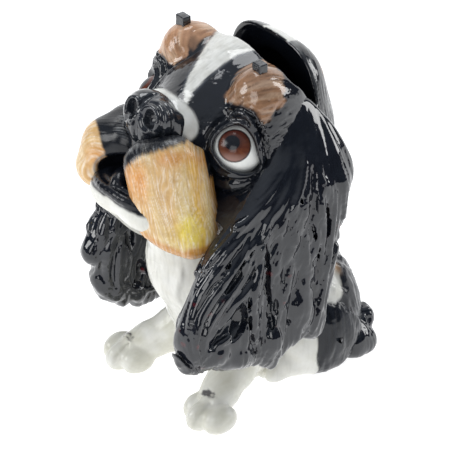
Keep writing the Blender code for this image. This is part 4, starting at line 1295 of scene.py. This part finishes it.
# ================================================================== LEGS
def legs():
    for s, side in ((1, "left"), (-1, "right")):
        c = Clay((min(4 * s, 46 * s), -15, -4), (max(4 * s, 46 * s), 46, 40), 0.5)
        ch = [(17, 30, 24, 12.5), (21, 22, 17, 10.5), (27, 10, 11.5, 8.4), (30, 3, 9, 7.4)]
        for a, b in zip(ch[:-1], ch[1:]):
            c.add(d_seg((a[0] * s, a[1], a[2]), (b[0] * s, b[1], b[2]), a[3], b[3]), 3)
        px = 31.4
        for dx, dy, r in ((-7.3, 1.0, (5.8, 8.8, 6.9)), (0, -1.4, (6.2, 10.4, 7.7)), (7.3, 1.0, (5.8, 8.8, 6.9))):
            c.add(d_ball(((px + dx) * s, dy, 5.6), r), 1.2)
        for dx in (-3.8, 3.8):
            c.cut(d_seg(((px + dx) * s, -12, 2.0), ((px + dx * 1.02) * s, -8.0, 9.5), 0.5, 0.5), 1.8)
            c.cut(d_seg(((px + dx * 1.02) * s, -8.0, 9.5), ((px + dx * 0.8) * s, -1.0, 13.2), 0.5, 0.35), 1.8)
        ground(c, 1.4)
        v, q = nets(c)
        v, q = largest(v, q)
        v = relax(v, q, 2)
        v[:, 2] = np.maximum(v[:, 2], 0.0)
        n = normals(v, q)
        cz = 14.6 if s > 0 else 14.0
        spot = np.linalg.norm((v - np.array([30.2 * s, 1.0, cz])) / np.array([3.6, 2.2, 2.6]), axis=1)
        sp = 1 - sstep(0.75, 1.15, spot + 0.35 * noise(v[:, 0] / 1.2, v[:, 1] / 1.2, v[:, 2] / 1.2, 6))
        u = np.arctan2(v[:, 0] - 24 * s, v[:, 2] - 8) * 9
        g = strokes(u, v[:, 1], 1.5, 8, 15, 0.6)
        tone = mixc(np.tile(CREAM, (len(v), 1)), CREAM * np.array([0.86, 0.855, 0.79]), np.clip(0.5 + 0.5 * noise(v[:, 0] / 6, v[:, 1] / 6, v[:, 2] / 6, 9) + 0.3 * g, 0, 1))
        tone = mixc(tone, np.array([0.05, 0.045, 0.055]), sp * 0.9)
        h = (0.10 * noise(v[:, 0] / 1.6, v[:, 1] / 3, v[:, 2] / 2.0, 5) - 0.12 * g) * sstep(0.3, 2, v[:, 2])
        make(side + "_foreleg", v + n * h[:, None], q, [side + "_front_leg"], M_WHITE, tone)

        c = Clay((min(4 * s, 42 * s), 34, -4), (max(4 * s, 42 * s), 100, 50), 0.58)
        c.add(d_ball((25 * s, 70, 21), (11.6, 20.6, 20.6)), 3)
        c.add(d_ball((20.5 * s, 58, 8), (8.5, 14, 9)), 3)
        c.add(d_ball((22 * s, 71.5, 7), (11.5, 17.5, 9.5)), 3)
        for dx in (-4.6, 0, 4.6):
            c.add(d_ball(((17 + dx) * s, 47 - 0.5 * abs(dx) + dx * 0.6, 5.0), (3.9, 7.5, 6.2)), 1.4)
        base = Clay.__new__(Clay)
        base.lo, base.h, base.n, base.ax, base.f = c.lo, c.h, c.n, c.ax, c.f.copy()
        rng = np.random.RandomState(15 if s > 0 else 16)
        for i in range(20):
            y0, y1 = rng.uniform(64, 76), 62 + 30 * (i + 0.5) / 20
            w = np.linspace(0, 1, 12)
            z0, z1 = rng.uniform(30, 42), rng.uniform(1.5, 12)
            y = y0 + (y1 - y0) * w ** 0.7 + 0.8 * np.sin(5 * w + i)
            P = np.stack([np.full(12, 44.0 * s), y, z0 + (z1 - z0) * w], 1)
            lay(c, P, (s, 0, 0), rng.uniform(1.6, 3.0), rng.uniform(0.0, 0.9), f0=base)
        ground(c, 1.4)
        v, q = nets(c)
        v, q = largest(v, q)
        v = relax(v, q, 2)
        v[:, 2] = np.maximum(v[:, 2], 0.0)
        n = normals(v, q)
        g1 = strokes(v[:, 1], v[:, 2], 1.9, 12, 51, 0.8)
        st = noise(v[:, 1] / 1.6, v[:, 2] / 10, 0, 53)
        blk = sstep(59.3, 60.1, v[:, 1] + 0.25 * st - 2.8 * (1 - sstep(2, 17, v[:, 2])))
        tone = mixc(np.tile(CREAM, (len(v), 1)), CREAM * 0.84, np.clip(g1 * 0.4, 0, 1))
        tone = mixc(tone, mixc(np.tile(BLACK, (len(v), 1)), SOFTBLACK, np.clip(0.5 + 0.5 * st, 0, 1)), blk)
        h = -0.34 * g1 * (0.25 + 0.75 * blk) * sstep(0.3, 2.5, v[:, 2])
        make(side + "_haunch", v + n * h[:, None], q, [side + "_hind_leg"], M_WHITE, tone)


def tail():
    c = Clay((-4, 70, -4), (44, 114, 38), 0.55)
    ch = [(12, 87, 12, 10), (19, 89, 9, 10), (24, 89, 7, 9)]
    for a, b in zip(ch[:-1], ch[1:]):
        c.add(d_seg(a[:3], b[:3], a[3], b[3]), 3)
    c.add(d_ball((20.0, 98.0, 14.8), (5.6, 5.2, 6.2)), 2)
    c.add(d_ball((24.6, 93.9, 5.5), (7.7, 7.1, 6.5)), 2)
    base = Clay.__new__(Clay)
    base.lo, base.h, base.n, base.ax, base.f = c.lo, c.h, c.n, c.ax, c.f.copy()
    rng = np.random.RandomState(9)
    for i in range(20):
        a0 = -75 + 185 * (i + 0.5) / 20
        w = np.linspace(0, 1, 11)
        an = np.radians(a0 + 14 * w + 4 * np.sin(5 * w + i))
        z = rng.uniform(18, 27) * (1 - w) + rng.uniform(1, 6) * w
        d = np.stack([np.sin(an), np.cos(an), 0 * an], 1)
        z = z * 0.8
        P = np.stack([21 + 24 * np.sin(an), 90 + 24 * np.cos(an), z], 1)
        lay(c, P, d, rng.uniform(1.2, 2.2), rng.uniform(0.0, 0.5), f0=base)
    ground(c, 1.4)
    v, q = nets(c)
    v, q = largest(v, q)
    v = relax(v, q, 2)
    v[:, 2] = np.maximum(v[:, 2], 0.0)
    n = normals(v, q)
    u = np.arctan2(v[:, 0] - 22, v[:, 1] - 88) * 11
    g1 = strokes(u, v[:, 2], 1.9, 11, 61, 0.8)
    tone = mixc(np.tile(BLACK, (len(v), 1)), SOFTBLACK, np.clip(0.5 + 0.5 * noise(u / 1.5, v[:, 2] / 9, 0, 62), 0, 1))
    make("tail_fur", v - n * (0.34 * g1 * sstep(0.3, 2.5, v[:, 2]))[:, None], q, ["tail"], M_BLACK, tone)


def pegs():
    for s, side in ((1, "left"), (-1, "right")):
        c = Clay((28 * s - 6, 26, 164), (28 * s + 6, 36, 178), 0.22)

        def stud(X, Y, Z, s=s):
            x, y, z = np.abs(X - 28 * s) - 2.5, np.abs(Y - 31) - 1.75, np.abs(Z - 171) - 3.1
            out = np.sqrt(np.maximum(x, 0) ** 2 + np.maximum(y, 0) ** 2 + np.maximum(z, 0) ** 2)
            return out + np.minimum(np.maximum(x, np.maximum(y, z)), 0) - 0.45
        c.add((stud, (28 * s - 4, 27, 166), (28 * s + 4, 35, 176)), 0)
        v, q = nets(c)
        v = relax(v, q, 2)
        n = normals(v, q)
        # the tops of the studs, where the surface faces up, are painted lighter grey: painted highlight
        tone = mixc(np.tile(BLACK * 1.2, (len(v), 1)), np.array([0.10, 0.11, 0.12]), sstep(0.6, 0.9, n[:, 2]) * (0.5 + 0.5 * noise(v[:, 0], v[:, 1], 0, 3)))
        h = 0.06 * noise(v[:, 0] / 0.9, v[:, 1] / 0.9, v[:, 2] / 0.9, 4)
        make(side + "_stud", v + n * h[:, None], q, [side + "_peg"], M_NOSE, tone)


head()
eyes()
nose()
flews()
jaw()
ears()
torso()
legs()
tail()
pegs()

# ------------------------------------------------------------------ stage, light, camera
me = bpy.data.meshes.new("floor")
S, B, R = 3.0, 2.2, 0.6
prof = [(-S, 0.0), (B, 0.0)] + [(B + R * math.sin(a), R - R * math.cos(a)) for a in np.linspace(0.1, math.pi / 2, 14)] + [(B + R, 3.0)]
vv = [(x, y, z) for y, z in prof for x in (-S, S)]
me.from_pydata(vv, [], [(2 * i, 2 * i + 1, 2 * i + 3, 2 * i + 2) for i in range(len(prof) - 1)])
me.shade_smooth()
floor = bpy.data.objects.new("floor", me)
bpy.context.scene.collection.objects.link(floor)
fm = bpy.data.materials.new("floor_paper")
fm.use_nodes = True
fb = fm.node_tree.nodes["Principled BSDF"]
fb.inputs["Base Color"].default_value = (0.42, 0.42, 0.42, 1)
fb.inputs["Roughness"].default_value = 0.7
fb.inputs["Specular IOR Level"].default_value = 0.1
fb.inputs["Emission Color"].default_value = (1.0, 1.0, 1.0, 1)
fb.inputs["Emission Strength"].default_value = 0.95
me.materials.append(fm)
floor.rotation_euler = (0, 0, math.radians(53 + 0))
floor.location = (0, 0, -0.0002)

w = bpy.data.worlds.new("studio")
bpy.context.scene.world = w
w.use_nodes = True
wn, wl = w.node_tree.nodes, w.node_tree.links
bg = wn["Background"]
wt = wn.new("ShaderNodeTexCoord")
ws = wn.new("ShaderNodeSeparateXYZ")
wl.new(wt.outputs["Generated"], ws.inputs[0])
wr = wn.new("ShaderNodeValToRGB")                     # a dim room that brightens overhead
wr.color_ramp.elements[0].position = 0.0
wr.color_ramp.elements[0].color = (0.05, 0.052, 0.065, 1)
wr.color_ramp.elements[1].position = 0.85
wr.color_ramp.elements[1].color = (0.46, 0.50, 0.56, 1)
mid = wr.color_ramp.elements.new(0.40)
mid.color = (0.075, 0.088, 0.11, 1)
wl.new(ws.outputs["Z"], wr.inputs["Fac"])
wl.new(wr.outputs["Color"], bg.inputs["Color"])
bg.inputs["Strength"].default_value = 0.85
bpy.context.scene.view_settings.view_transform = "Standard"


def light(name, pos, size, power, look=(0, 0, 0.08), size_y=None, col=(1, 1, 1)):
    ld = bpy.data.lights.new(name, "AREA")
    ld.shape = "RECTANGLE"
    ld.size = size
    ld.size_y = size_y or size
    ld.energy = power
    ld.color = col
    lo = bpy.data.objects.new(name, ld)
    bpy.context.scene.collection.objects.link(lo)
    lo.location = pos
    lo.rotation_euler = (Vector(look) - Vector(pos)).to_track_quat("-Z", "Y").to_euler()
    return lo


rt, bk = RIGHT, np.array([BACK[0], BACK[1], 0]) / math.hypot(BACK[0], BACK[1])


def place(r, b, z):
    """Metres to the camera's right, towards the camera, and up."""
    p = rt * r + bk * b
    return (float(p[0]), float(p[1]), z)


light("top_box", place(-0.05, -0.50, 1.30), 0.62, 5.6, col=(0.97, 0.985, 1.0))
light("left_box", place(-1.15, 0.22, 0.66), 0.60, 6.6)
light("right_box", place(1.15, -0.30, 0.60), 0.42, 6.6, size_y=0.80)
light("front_box", place(-0.50, 1.25, 0.62), 0.75, 5.0)

cam_data = bpy.data.cameras.new("camera")
cam = bpy.data.objects.new("camera", cam_data)
bpy.context.scene.collection.objects.link(cam)
M = Matrix((Vector(RIGHT), Vector(UP), Vector(BACK))).transposed().to_4x4()
M.translation = Vector(row(TARGET + BACK * DIST))
cam.matrix_world = M
cam_data.sensor_width = 36.0
cam_data.lens = 280.0
cam_data.clip_start = 0.05
cam_data.clip_end = 30.0
bpy.context.scene.camera = cam

print("PIECES", PIECES, sum(p[1] for p in PIECES))
